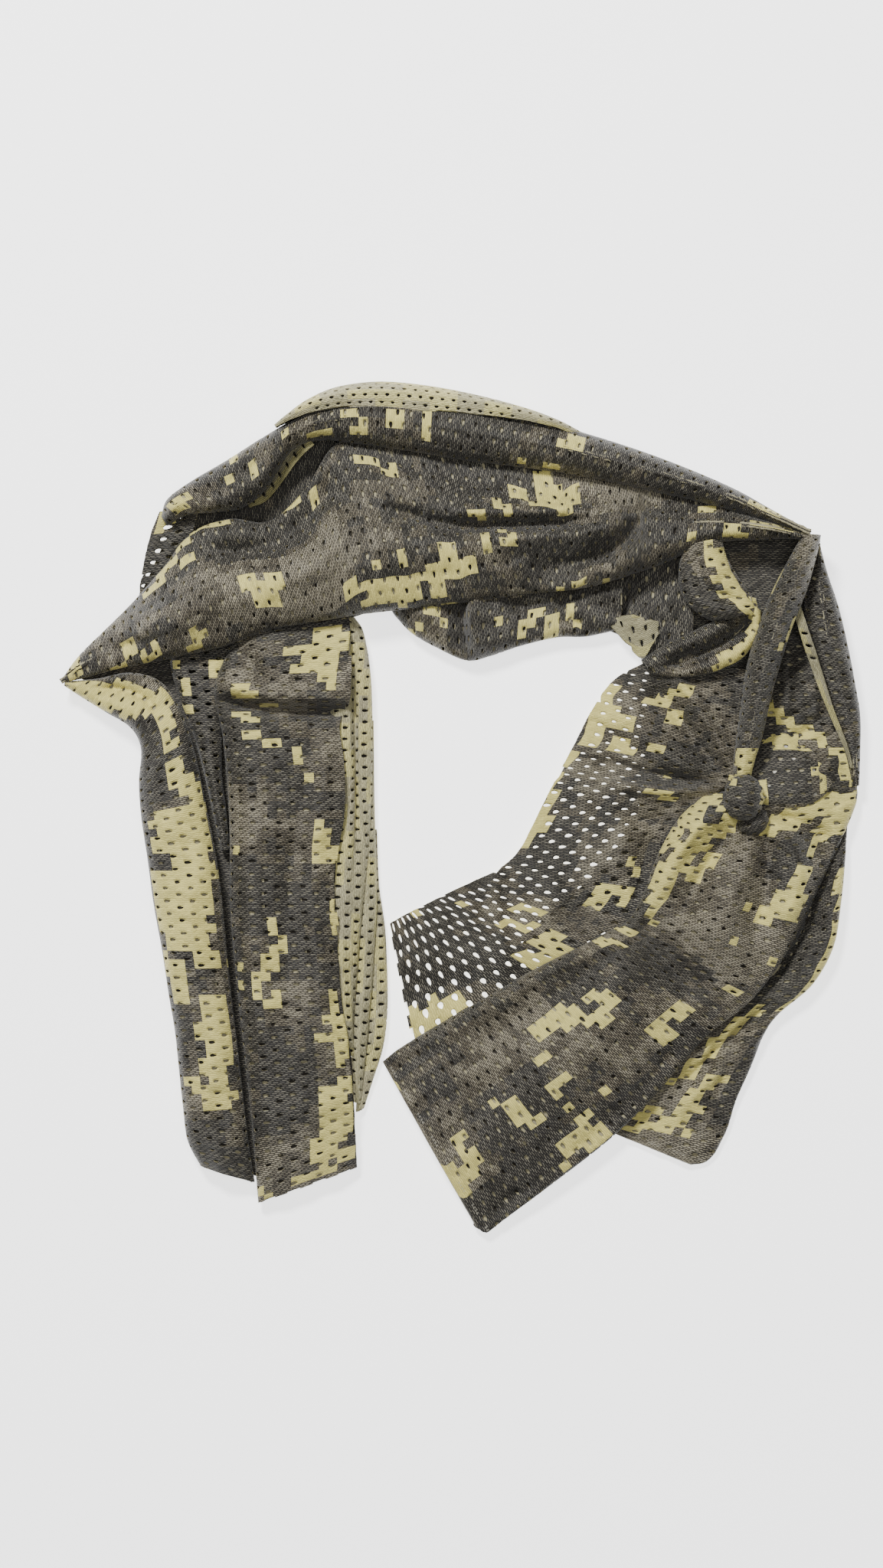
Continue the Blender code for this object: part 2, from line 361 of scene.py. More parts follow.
def tiles_of(chart, pitch_s, pitch_t, open_holes, solid_from=None, eyelet=PLAIN_EYELET):
    """Vertices (s, t), faces as rings of indices, and a mark for each face that lies on a selvedge.

    Each tile of the staggered lattice is a ring of 16 points, a middle ring, and a hole or its cap. eyelet is
    the hole's length and width against the usual one, and how much it grows from one end to the other.
    """
    i0, i1 = int(chart.start // pitch_s) - 1, int(chart.stop // pitch_s) + 2
    j1 = int(chart.length // pitch_t) + 2
    ij = np.array([(i, j) for i in range(i0, i1) for j in range(-1, j1)])
    key_s = 4 * ij[:, :1] + RING[None, :, 0]
    key_t = 4 * ij[:, 1:] + 2 * (ij[:, :1] % 2) + RING[None, :, 1]
    centred = chart.mean_width() < NARROW_SHEET
    s = key_s * pitch_s / 4.0 - (pitch_s / 2.0 if centred else 0.0)
    t = key_t * pitch_t / 4.0
    cs, ct, _ = chart.clip(s.ravel(), t.ravel())
    cs, ct = cs.reshape(s.shape), ct.reshape(t.shape)
    wide = cs[:, 4:9].mean(axis=1) - cs[:, (0, 12, 13, 14, 15)].mean(axis=1)
    tall = ct[:, 8:13].mean(axis=1) - ct[:, 0:5].mean(axis=1)
    keep = (wide > SLIVER * pitch_s) & (tall > SLIVER * pitch_t)
    key_s, key_t, cs, ct, wide, tall = key_s[keep], key_t[keep], cs[keep], ct[keep], wide[keep], tall[keep]
    code = key_s.astype(np.int64) * 100000 + key_t
    _, first, inverse = np.unique(code.ravel(), return_index=True, return_inverse=True)
    outer = np.column_stack([cs.ravel()[first], ct.ravel()[first]])
    ring = inverse.reshape(code.shape)
    count = len(ring)
    centre_s, centre_t = cs.mean(axis=1)[:, None], ct.mean(axis=1)[:, None]
    whole = (wide > WHOLE_TILE * pitch_s) & (tall > WHOLE_TILE * pitch_t)
    open_here = whole & open_holes
    rng = np.random.default_rng(count)
    vary = rng.uniform(*EYELET_VARIES, (count, 2)) * (1 + eyelet[2] * (centre_t / chart.length - 0.5))
    half_s = np.where(open_here, EYELET_HALF_LONG * eyelet[0] * vary[:, 0], wide * CAP_SHARE)[:, None]
    half_t = np.where(open_here, EYELET_HALF_SHORT * eyelet[1] * vary[:, 1], tall * CAP_SHARE)[:, None]
    hs = centre_s + HOLE[None, :, 0] * half_s
    ht = centre_t + HOLE[None, :, 1] * half_t
    inner = len(outer) + np.arange(count * 16).reshape(count, 16)
    middle = inner + count * 16
    parts = [outer, np.column_stack([hs.ravel(), ht.ravel()])]
    parts.append(np.column_stack([((hs + cs) / 2).ravel(), ((ht + ct) / 2).ravel()]))
    st = np.vstack(parts)
    band = np.zeros(count, bool) if solid_from is None else centre_t[:, 0] > solid_from
    quads = []
    for k in range(16):
        n = (k + 1) % 16
        quads.append(np.column_stack([ring[:, k], ring[:, n], middle[:, n], middle[:, k]]))
        quads.append(np.column_stack([middle[:, k], middle[:, n], inner[:, n], inner[:, k]]))
    marks = np.tile(band, 32)
    filled = ~open_here | band
    flat = ((wide * tall).sum() / chart.length * MM, chart.length * MM)
    return st, np.vstack(quads), marks, inner[filled], band[filled], flat


def closed_mesh(name, top, bottom, uv, quads, marks, caps, cap_marks, slots):
    """A thin closed sheet: slots are face, back, rim, band face. A cap is a ring of 16 corners to fill."""
    n = len(top)
    verts = np.vstack([top, bottom])
    strips = [caps[:, (k, k + 1, 14 - k, 15 - k)] for k in range(7)]
    cap_quads = np.vstack(strips)
    cap_m = np.tile(cap_marks, 7)
    faces = np.vstack([quads, cap_quads]).astype(np.int64)
    band = np.concatenate([marks, cap_m])
    edges = np.stack([faces, np.roll(faces, -1, axis=1)], axis=2).reshape(-1, 2)
    low, high = edges.min(axis=1), edges.max(axis=1)
    code = low * (n + 1) + high
    _, index, counts = np.unique(code, return_inverse=True, return_counts=True)
    rim = edges[counts[index] == 1]
    rim_quads = np.column_stack([rim[:, 1], rim[:, 0], rim[:, 0] + n, rim[:, 1] + n])
    back = faces[:, ::-1] + n
    every = np.vstack([faces, back, rim_quads])
    material = np.concatenate([np.where(band, 3, 0), np.where(band, 3, 1), np.full(len(rim_quads), 2)])
    smooth = np.concatenate([np.ones(2 * len(faces), bool), np.zeros(len(rim_quads), bool)])
    mesh = bpy.data.meshes.new(name)
    mesh.vertices.add(len(verts))
    mesh.vertices.foreach_set("co", (verts * MM).astype(np.float32).ravel())
    mesh.loops.add(every.size)
    mesh.loops.foreach_set("vertex_index", every.ravel().astype(np.int32))
    mesh.polygons.add(len(every))
    mesh.polygons.foreach_set("loop_start", np.arange(0, every.size, 4, dtype=np.int32))
    mesh.polygons.foreach_set("material_index", material.astype(np.int32))
    mesh.polygons.foreach_set("use_smooth", smooth)
    layer = mesh.uv_layers.new(name="cloth")
    both = np.vstack([uv, uv]) * MM
    layer.data.foreach_set("uv", both[every.ravel()].astype(np.float32).ravel())
    mesh.update(calc_edges=True)
    mesh.validate()
    for m in slots:
        mesh.materials.append(m)
    obj = bpy.data.objects.new(name, mesh)
    bpy.context.scene.collection.objects.link(obj)
    return obj


def vertex_normals(points, quads):
    """Unit normals of the points, averaged over the quads that meet there."""
    a, b, c, d = (points[quads[:, k]] for k in range(4))
    n = np.cross(c - a, d - b)
    out = np.zeros_like(points)
    for k in range(4):
        np.add.at(out, quads[:, k], n)
    return out / np.maximum(np.linalg.norm(out, axis=1, keepdims=True), 1e-9)


def faces_down(st, normals):
    """Whether the middle of the sheet, which is its top, has normals that point down."""
    middle = np.abs(st[:, 0]) < EYELET_ACROSS
    return normals[middle, 2].sum() < 0


def sheet_mesh(name, chart, tiles, slots, lowest=None):
    """Lays tiles over the chart as one closed thin sheet whose face is up."""
    st, quads, marks, caps, cap_marks, flat = tiles
    top = chart.at(st[:, 0], st[:, 1])
    if lowest is not None:
        top[:, 2] = np.maximum(top[:, 2], lowest)
    n = vertex_normals(top, quads)
    if faces_down(st, n):
        quads, caps, n = quads[:, ::-1], caps[:, ::-1], -n
    return closed_mesh(name, top, top - n * CLOTH_THICKNESS, st, quads, marks, caps, cap_marks, slots), flat


def cloth(name, grid, chart, slots, lining, reverse_up, selvedge, solid, eyelet, pitch):
    """Builds one perforated sheet over the grid, and a plain gathered layer under it."""
    edge = chart.length - SELVEDGE_WIDTH if selvedge else None
    face, back, rim, band = slots
    order = [back, face, rim, band] if reverse_up else [face, back, rim, band]
    made = [sheet_mesh(name, chart, tiles_of(chart, pitch[0], pitch[1], not solid, edge, eyelet), order)]
    if lining:
        inner = Chart(grid - grid_normals(grid) * LINING_DEPTH)
        tiles = tiles_of(inner, LINING_GRID, LINING_GRID, False)
        made.append(sheet_mesh(name + "_inner", inner, tiles, [LININGS[lining]] * 4, LINING_LOWEST))
    return made


# ---------------------------------------------------------------- materials


class Nodes:
    """A material with the few node calls that the cloth needs. A value may be a number or a socket."""

    def __init__(self, name):
        self.material = bpy.data.materials.new(name)
        self.material.use_nodes = True
        self.tree = self.material.node_tree
        self.shader = self.tree.nodes["Principled BSDF"]

    def node(self, kind, **settings):
        n = self.tree.nodes.new(kind)
        for key, value in settings.items():
            setattr(n, key, value)
        return n

    def put(self, socket, value):
        if isinstance(value, bpy.types.NodeSocket):
            self.tree.links.new(value, socket)
        else:
            socket.default_value = value

    def put_all(self, node, values):
        for key, value in values.items():
            self.put(node.inputs[key], value)

    def math(self, operation, *values, clamp=False):
        n = self.node("ShaderNodeMath", operation=operation, use_clamp=clamp)
        for socket, value in zip(n.inputs, values):
            self.put(socket, value)
        return n.outputs[0]

    def times(self, a, b, clamp=False):
        return self.math("MULTIPLY", a, b, clamp=clamp)

    def times_plus(self, a, b, c, clamp=False):
        return self.math("MULTIPLY_ADD", a, b, c, clamp=clamp)

    def vector(self, operation, *values):
        n = self.node("ShaderNodeVectorMath", operation=operation)
        for socket, value in zip(n.inputs, values):
            self.put(socket, value)
        return n.outputs["Vector"]

    def split(self, vector):
        n = self.node("ShaderNodeSeparateXYZ")
        self.put(n.inputs[0], vector)
        return n.outputs

    def noise(self, vector, scale, detail=1.0):
        n = self.node("ShaderNodeTexNoise")
        self.put_all(n, {"Vector": vector, "Scale": scale, "Detail": detail, "Roughness": 0.5})
        return n.outputs["Fac"]

    def mix(self, factor, a, b, blend="MIX"):
        n = self.node("ShaderNodeMix", data_type="RGBA", blend_type=blend)
        self.put(n.inputs["Factor"], factor)
        self.put(n.inputs["A"], a if isinstance(a, bpy.types.NodeSocket) else (*a, 1.0))
        self.put(n.inputs["B"], b if isinstance(b, bpy.types.NodeSocket) else (*b, 1.0))
        return n.outputs["Result"]


def knit(k, uv, turned=False):
    """Height of the knitted stitches, 0 to 1, and a tone that varies from stitch to stitch."""
    across, along, _ = k.split(uv)
    s, t = (along, across) if turned else (across, along)
    sway = k.math("SINE", k.times(s, 2 * math.pi / (COLUMN_PITCH * MM)))
    row = k.times_plus(sway, STITCH_SWAY, k.math("DIVIDE", t, RIB_PITCH * MM))
    rib = k.times(k.math("PINGPONG", row, 0.5), 2.0)
    number = k.math("FLOOR", row)
    column = k.times_plus(number, BRICK_SHIFT, k.math("DIVIDE", s, COLUMN_PITCH * MM))
    gate = k.times(k.math("PINGPONG", column, 0.5), GAP_SLOPE, clamp=True)
    height = k.times(rib, k.times_plus(gate, GAP_DEPTH, 1 - GAP_DEPTH))
    spot = k.node("ShaderNodeCombineXYZ")
    k.put(spot.inputs[0], k.math("FLOOR", column))
    k.put(spot.inputs[1], number)
    stitch = k.node("ShaderNodeTexWhiteNoise", noise_dimensions="2D")
    k.put(stitch.inputs["Vector"], spot.outputs[0])
    drift = k.times_plus(k.noise(uv, DRIFT_SCALE), *DRIFT)
    tone = k.times_plus(stitch.outputs["Value"], STITCH_NOISE, drift)
    return height, tone


def print_value(k, uv, seed, blobs, chart):
    """The print's grey value and where it is pale, both constant over each printed block.

    Each blob is a soft rectangle: x, y, half width across, half length along, and how much it adds; a few
    dark ones are painted shade.
    """
    cell = k.vector("SNAP", uv, (PRINT_ACROSS * MM, PRINT_ALONG * MM, 1.0))
    moved = k.vector("ADD", cell, tuple(c * seed for c in PRINT_SHIFT))
    coarse = k.noise(moved, COARSE_SCALE)
    middle = k.noise(moved, MIDDLE_SCALE)
    block = k.node("ShaderNodeTexWhiteNoise", noise_dimensions="3D")
    k.put(block.inputs["Vector"], moved)
    block = block.outputs["Value"]
    grey = k.times_plus(middle, GREY_MIX[1], k.times(coarse, GREY_MIX[0]))
    grey = k.times_plus(k.math("GREATER_THAN", block, RARE_BLOCK), RARE_LIFT, grey)
    pale = k.times_plus(middle, PALE_MIX[1], k.times(coarse, PALE_MIX[0]))
    pale = k.times_plus(block, PALE_MIX[2], pale)
    half_block = (PRINT_ACROSS / 2, PRINT_ALONG / 2)
    for x, y, across, along, strength in blobs:
        s, t = nearest(chart, x, y)
        shift = ((half_block[0] - s) / across, (half_block[1] - t) / along, 0.0)
        rel = k.vector("MULTIPLY_ADD", cell, (1 / (across * MM), 1 / (along * MM), 0.0), shift)
        away = k.split(k.vector("ABSOLUTE", rel))
        near = k.times_plus(k.math("MAXIMUM", away[0], away[1]), *BLOB_FADE, clamp=True)
        if strength > GREY_ONLY or strength < 0:
            pale = k.times_plus(near, strength, pale)
        if strength <= GREY_ONLY:
            grey = k.times_plus(near, strength, grey)
    return grey, k.math("GREATER_THAN", pale, PALE_LEVEL)


def nearest(chart, x, y):
    """Flat coordinates of the top of a sheet nearest to a place seen from above."""
    rows, cols = chart.table.shape[:2]
    d = (chart.table[:, :, 0] - x) ** 2 + (chart.table[:, :, 1] - y) ** 2 - chart.table[:, :, 2] * 0.4
    k = int(np.argmin(d))
    return float(chart.s[k % cols]), float(chart.along[k // cols])


def finish_cloth(k, colour, height, rough, bump, sheen=CLOTH_SHEEN):
    """Sets the cloth's surface, with the height of its stitches as a bump."""
    relief = k.node("ShaderNodeBump")
    k.put_all(relief, {"Strength": bump, "Distance": STITCH_RELIEF * MM, "Height": height})
    surface = {"Base Color": colour, "Roughness": rough, "Sheen Weight": sheen, "Sheen Roughness": 0.5}
    k.put_all(k.shader, {**surface, "Specular IOR Level": 0.35, "Normal": relief.outputs["Normal"]})
    return k.material


def uv_of(k):
    return k.node("ShaderNodeUVMap", uv_map="cloth").outputs[0]


def grey_of(k, value):
    n = k.node("ShaderNodeCombineColor")
    for socket in n.inputs[:3]:
        k.put(socket, value)
    return n.outputs[0]


def ramp(k, value, stops):
    """Steps of colour, each from its own value up."""
    n = k.node("ShaderNodeValToRGB")
    n.color_ramp.interpolation = "CONSTANT"
    elements = n.color_ramp.elements
    elements[0].position, elements[0].color = stops[0][0], (*stops[0][1], 1)
    elements[1].position, elements[1].color = stops[1][0], (*stops[1][1], 1)
    for position, colour in stops[2:]:
        e = elements.new(position)
        e.color = (*colour, 1)
    k.put(n.inputs[0], value)
    return n.outputs[0]


def printed(name, seed, blobs, chart, selvedge, turned):
    """The printed face, with painted shade between its stitches and painted highlights on their crests. A
    selvedge is smoother, with a row of pale loops and a pale outer thread.
    """
    k = Nodes("print_" + name)
    uv = uv_of(k)
    height, streak = knit(k, uv, turned)
    grey, pale = print_value(k, uv, seed, blobs, chart)
    colour = ramp(k, grey, [(0.0, CHARCOAL), (BROWN_LEVEL, BROWN_GREY), (GREY_LEVEL, MID_GREY)])
    # Painted shade in the gaps between stitches and painted highlights on their crests, milder on the pale
    # print.
    painted_stitch_light = k.times_plus(k.math("POWER", height, PAINTED_STITCH_LIGHT_POWER), *PAINTED_STITCH_LIGHT)
    painted_stitch_light = k.times(painted_stitch_light, k.times_plus(streak, *PAINTED_STITCH_LIGHT_TONE))
    painted_pale_stitch_light = k.times(k.times_plus(height, *PALE_SHADE), k.times_plus(streak, *PALE_TONE))
    colour = k.mix(1.0, colour, grey_of(k, painted_stitch_light), "MULTIPLY")
    # Painted highlight flecks on the crests of the brighter stitches.
    fleck_highlight = k.math("SUBTRACT", k.times(streak, height), FLECK_HIGHLIGHT_LEVEL)
    fleck_highlight = k.times(fleck_highlight, FLECK_HIGHLIGHT_SLOPE, clamp=True)
    colour = k.mix(fleck_highlight, colour, FLECK_HIGHLIGHT)
    colour = k.mix(pale, colour, k.mix(1.0, PALE, grey_of(k, painted_pale_stitch_light), "MULTIPLY"))
    rough = k.times_plus(streak, *PRINT_ROUGHNESS)
    if selvedge:
        across, along, _ = k.split(uv)
        inward = k.math("SUBTRACT", chart.length * MM, along)
        outer = k.math("LESS_THAN", inward, OUTER_THREAD * MM)
        row = k.math("COMPARE", inward, LOOP_ROW * MM, LOOP_ROW_HALF * MM)
        wave = k.math("SINE", k.times(across, 2 * math.pi / (LOOP_PITCH * MM)))
        loop = k.math("GREATER_THAN", wave, 0.0)
        pale = k.math("MAXIMUM", outer, k.times(row, loop))
        colour = k.mix(k.times(pale, LOOP_SHOWS), colour, SELVEDGE_LOOP)
    return finish_cloth(k, colour, height, rough, SMOOTH_BUMP if selvedge else PRINT_BUMP)


def reverse(name, seed, tone):
    """The unprinted side: pale, with the print showing faintly through in long blocks, painted shade and
    highlight by the height of its stitches, and all of it darkened by tone as painted shade.
    """
    k = Nodes("reverse_" + name)
    uv = uv_of(k)
    height, streak = knit(k, uv, True)
    cell = k.vector("SNAP", uv, (PRINT_ACROSS * MM, PRINT_ALONG * 3 * MM, 1.0))
    moved = k.vector("ADD", cell, tuple(c * seed for c in REVERSE_SHIFT))
    ghost = k.noise(moved, REVERSE_SCALE)
    colour = ramp(k, ghost, [(0.0, REVERSE_PALE), (0.5, REVERSE_KHAKI), (0.62, REVERSE_DULL)])
    # Painted shade and highlight by stitch height; tone below 1 scales it all down as painted shade.
    shade = k.times_plus(height, REVERSE_SHADE[0] * tone, REVERSE_SHADE[1] * tone)
    shade = k.times(shade, k.times_plus(streak, *REVERSE_TONE))
    colour = k.mix(1.0, colour, grey_of(k, shade), "MULTIPLY")
    speck = k.math("GREATER_THAN", k.noise(uv, SPECK_SCALE), SPECK_LEVEL)
    colour = k.mix(k.times(speck, 0.5), colour, tuple(c * tone for c in REVERSE_SPECK))
    return finish_cloth(k, colour, height, REVERSE_ROUGHNESS, REVERSE_BUMP)


def thread_ends(name):
    """The cut or turned edges of the cloth, and the walls of its eyelets."""
    k = Nodes(name)
    height, streak = knit(k, uv_of(k))
    shade = k.times_plus(streak, *RIM_TONE)
    colour = k.mix(1.0, RIM, grey_of(k, shade), "MULTIPLY")
    return finish_cloth(k, colour, height, PLAIN_ROUGHNESS, SMOOTH_BUMP, 0.0)


def lining_cloth(name, low, high):
    """The next layer down, seen through the eyelets, printed in two colours; the black one is a sheet of
    painted shadow between layers.
    """
    k = Nodes("inner_layer_" + name)
    uv = uv_of(k)
    height, _ = knit(k, uv)
    cell = k.vector("SNAP", uv, (PRINT_ACROSS * MM, PRINT_ALONG * MM, 1.0))
    colour = ramp(k, k.noise(cell, LINING_SCALE), [(0.0, low), (LINING_LEVEL, high)])
    return finish_cloth(k, colour, height, PLAIN_ROUGHNESS, SMOOTH_BUMP, 0.0)


RIM_CLOTH = thread_ends("cut_threads")
LININGS = {
    "olive": lining_cloth("olive", LINING_DARK, LINING_OLIVE),
    # The black lining is painted shadow between layers.
    "painted_shadow": lining_cloth("painted_shadow", PAINTED_SHADOW_BLACK, PAINTED_SHADOW_BLACK),
    "pale": lining_cloth("pale", LINING_PALE, LINING_OLIVE),
}


# ---------------------------------------------------------------- the sections of the cloth


def dress(
    name, grid, replaces, blobs, seed, body="veil", blend=None, lining="olive", reverse_up=False,
    selvedge=False, tone=1.0, solid=False, eyelet=PLAIN_EYELET, pitch=(EYELET_ACROSS, EYELET_ALONG),
    turned=False,
):
    """Covers a grid with cloth and tells the frame what it rides on and what it stands for."""
    chart = Chart(grid)
    face = printed(name, seed, blobs, chart, False, turned)
    # tone below 1 darkens the reverse of a section as painted shade.
    back = reverse(name, seed, tone)
    band = printed(name + "_selvedge", seed, blobs, chart, True, False) if selvedge else face
    slots = (face, back, RIM_CLOTH, band)
    made = cloth(name, grid, chart, slots, lining, reverse_up, selvedge, solid, eyelet, pitch)
    for k, (obj, flat) in enumerate(made):
        if blend:
            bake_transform(obj)
        else:
            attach(obj, body)
        if k == 0 and replaces:
            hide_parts(*replaces)


def place(
    name, rows, replaces=(), blobs=(), seed=1, folds=(), wrinkle=0.5, size=26.0,
    curl=(True, True), dome=3.0, rounding=1.1, under=6.0, slope=(0.0, 0.0), **look,
):
    """One section of the cloth, from its table of rows and its folds. look goes on to dress."""
    grid, weight = section_grid(rows, curl, dome, rounding, under, slope)
    dress(name, folded(grid, weight, folds, wrinkle, seed, size), replaces, blobs, seed, **look)


def pale_at(*places):
    """Blobs of the print's pale colour: x, y, half width across, half length along."""
    return [(*p, PALE_STRENGTH) for p in places]


FLAT = {"curl": (False, False)}
UNDER_LAYER = {**FLAT, "dome": 0.0, "lining": None, "solid": True}
# The pleats show the black painted-shadow lining through their eyelets, and tone 0.85 darkens their reverse
# as painted shade.
PLEAT = {
    "wrinkle": 0.3,
    "lining": "painted_shadow",
    "pitch": (5.0, 5.4),
    "eyelet": (0.92, 0.92, 0.0),
    "tone": 0.85,
    "reverse_up": True,
    "body": "leg_end",
}


place("band_under_layer", [
    (-152, 104, -148, 76, 0.8, 2), (-134, 138, -128, 76), (-102, 162, -95, 82), (-72, 178, -62, 88),
    (-32, 188, -28, 96), (20, 182, 20, 100), (70, 168, 70, 104), (110, 154, 110, 100), (140, 142, 140, 92),
    (160, 132, 160, 110),
], blobs=[(0, 130, 400, 400, -0.12)], seed=51, wrinkle=0.2, **UNDER_LAYER)
place("corner_under_layer", [
    (110, 130.5, 163, 131, 2.4, 3.4), (106, 125, 168, 125), (103, 106, 172, 106), (104, 90, 176, 90),
    (108, 76, 180, 76), (116, 64, 182, 62), (126, 50, 184, 50),
], blobs=[(140, 90, 200, 200, -0.12)], seed=52, wrinkle=0.3, **UNDER_LAYER)
place("leg_under_layer", [
    (-182, 62.5, -104, 84, 0.8, 1.8), (-168, 54, -102, 64), (-144, 44, -101, 46), (-132, 30, -100, 30),
    (-124, 0, -100, 0), (-124, -40, -99, -40), (-128, -80, -97, -80), (-130, -120, -94, -120),
    (-126, -156, -90, -160), (-118, -169, -90, -178),
], blobs=[(-120, 0, 400, 400, -0.12)], seed=53, wrinkle=0.2, body="leg_end",
    blend=((-110, -76, 2), (-110, -104, 2)), **UNDER_LAYER)
place("top_roll_cloth", [
    (-142, 139, -139, 134, 7, 16), (-139, 147, -129, 139, 4, 24), (-127, 156, -116, 140, 2, 27),
    (-110, 166, -103, 142, 2, 28), (-96, 175, -91, 152), (-82, 183, -80, 169), (-68, 190, -66, 174),
    (-50, 196, -50, 172.5), (-25, 197, -26, 169), (0, 193, -2, 165), (25, 187, 22, 162), (50, 181, 45, 159),
    (78, 172.5, 72, 154), (104, 163, 97, 148.5), (130, 151.5, 124, 142, 3, 29), (150, 140, 146, 135, 4, 30),
    (166, 131, 163, 129, 7, 30),
], ["top_roll"], blobs=pale_at(
    (-54, 183, 6, 4), (-46, 181, 8, 3.5), (-64, 176, 3.5, 7), (-30, 183, 3.5, 6), (-17, 181, 8, 4),
    (52, 172, 5, 8), (-83, 176, 3.5, 4), (-97, 158, 5, 3), (-109, 154, 3, 4), (-108, 166, 5, 3.5),
    (-132, 143, 4, 6), (138, 145, 3, 4), (147, 140, 4, 8), (13, 165, 2.5, 4), (28, 163, 2.5, 3),
    (43, 161, 2.5, 4),
) + [
    (90, 165, 16, 44, -0.14), (-40, 182, 16, 30, -0.1), (20, 176, 16, 34, -0.1), (-120, 150, 9, 12, 0.05),
], folds=[
    (((-139, 146), (-118, 149), (-95, 163), (-80, 176)), -2.0, 4, 4),
], seed=3, dome=1.0, rounding=0.85, wrinkle=0.4)
# Its eyelets show the black painted-shadow lining.
place("top_reverse_cloth", [
    (-88, 181.5, -87, 180, 17, 23), (-82, 186.5, -80, 183, 9, 28.5), (-72, 194, -70, 186.5, 4, 29.5),
    (-58, 200, -56, 188.5, 1.5, 30), (-38, 202.5, -38, 188.5), (-15, 200.5, -16, 187),
    (8, 196, 7, 185.5, 2, 30), (30, 190, 28, 183, 4, 29.5), (46, 184, 45, 179.5, 9, 27.5),
    (58, 178.2, 57, 175.5, 12, 19),
], ["top_reverse_strip"], seed=5, curl=(True, False), dome=0.5, rounding=0.7, slope=(0.0, 0.11), under=4,
    wrinkle=0.3, lining="painted_shadow", pitch=(3.7, 5.2), eyelet=(0.42, 1.3, 0.0), reverse_up=True)
place("back_layer_cloth", [
    (-153, 102, -147, 99, 2, 5), (-152.5, 108, -140, 108, 2, 6), (-150, 120, -132, 120, 2, 8),
    (-147, 131, -126, 134, 2, 10), (-143, 141, -124, 143, 2, 11),
], ["back_layer"], blobs=pale_at((-139, 138, 5, 6)) + [(-145, 118, 14, 14, -0.14)], seed=8, dome=1.0,
    wrinkle=0.6, lining=None, eyelet=(1.3, 1.3, 0.0), **FLAT)
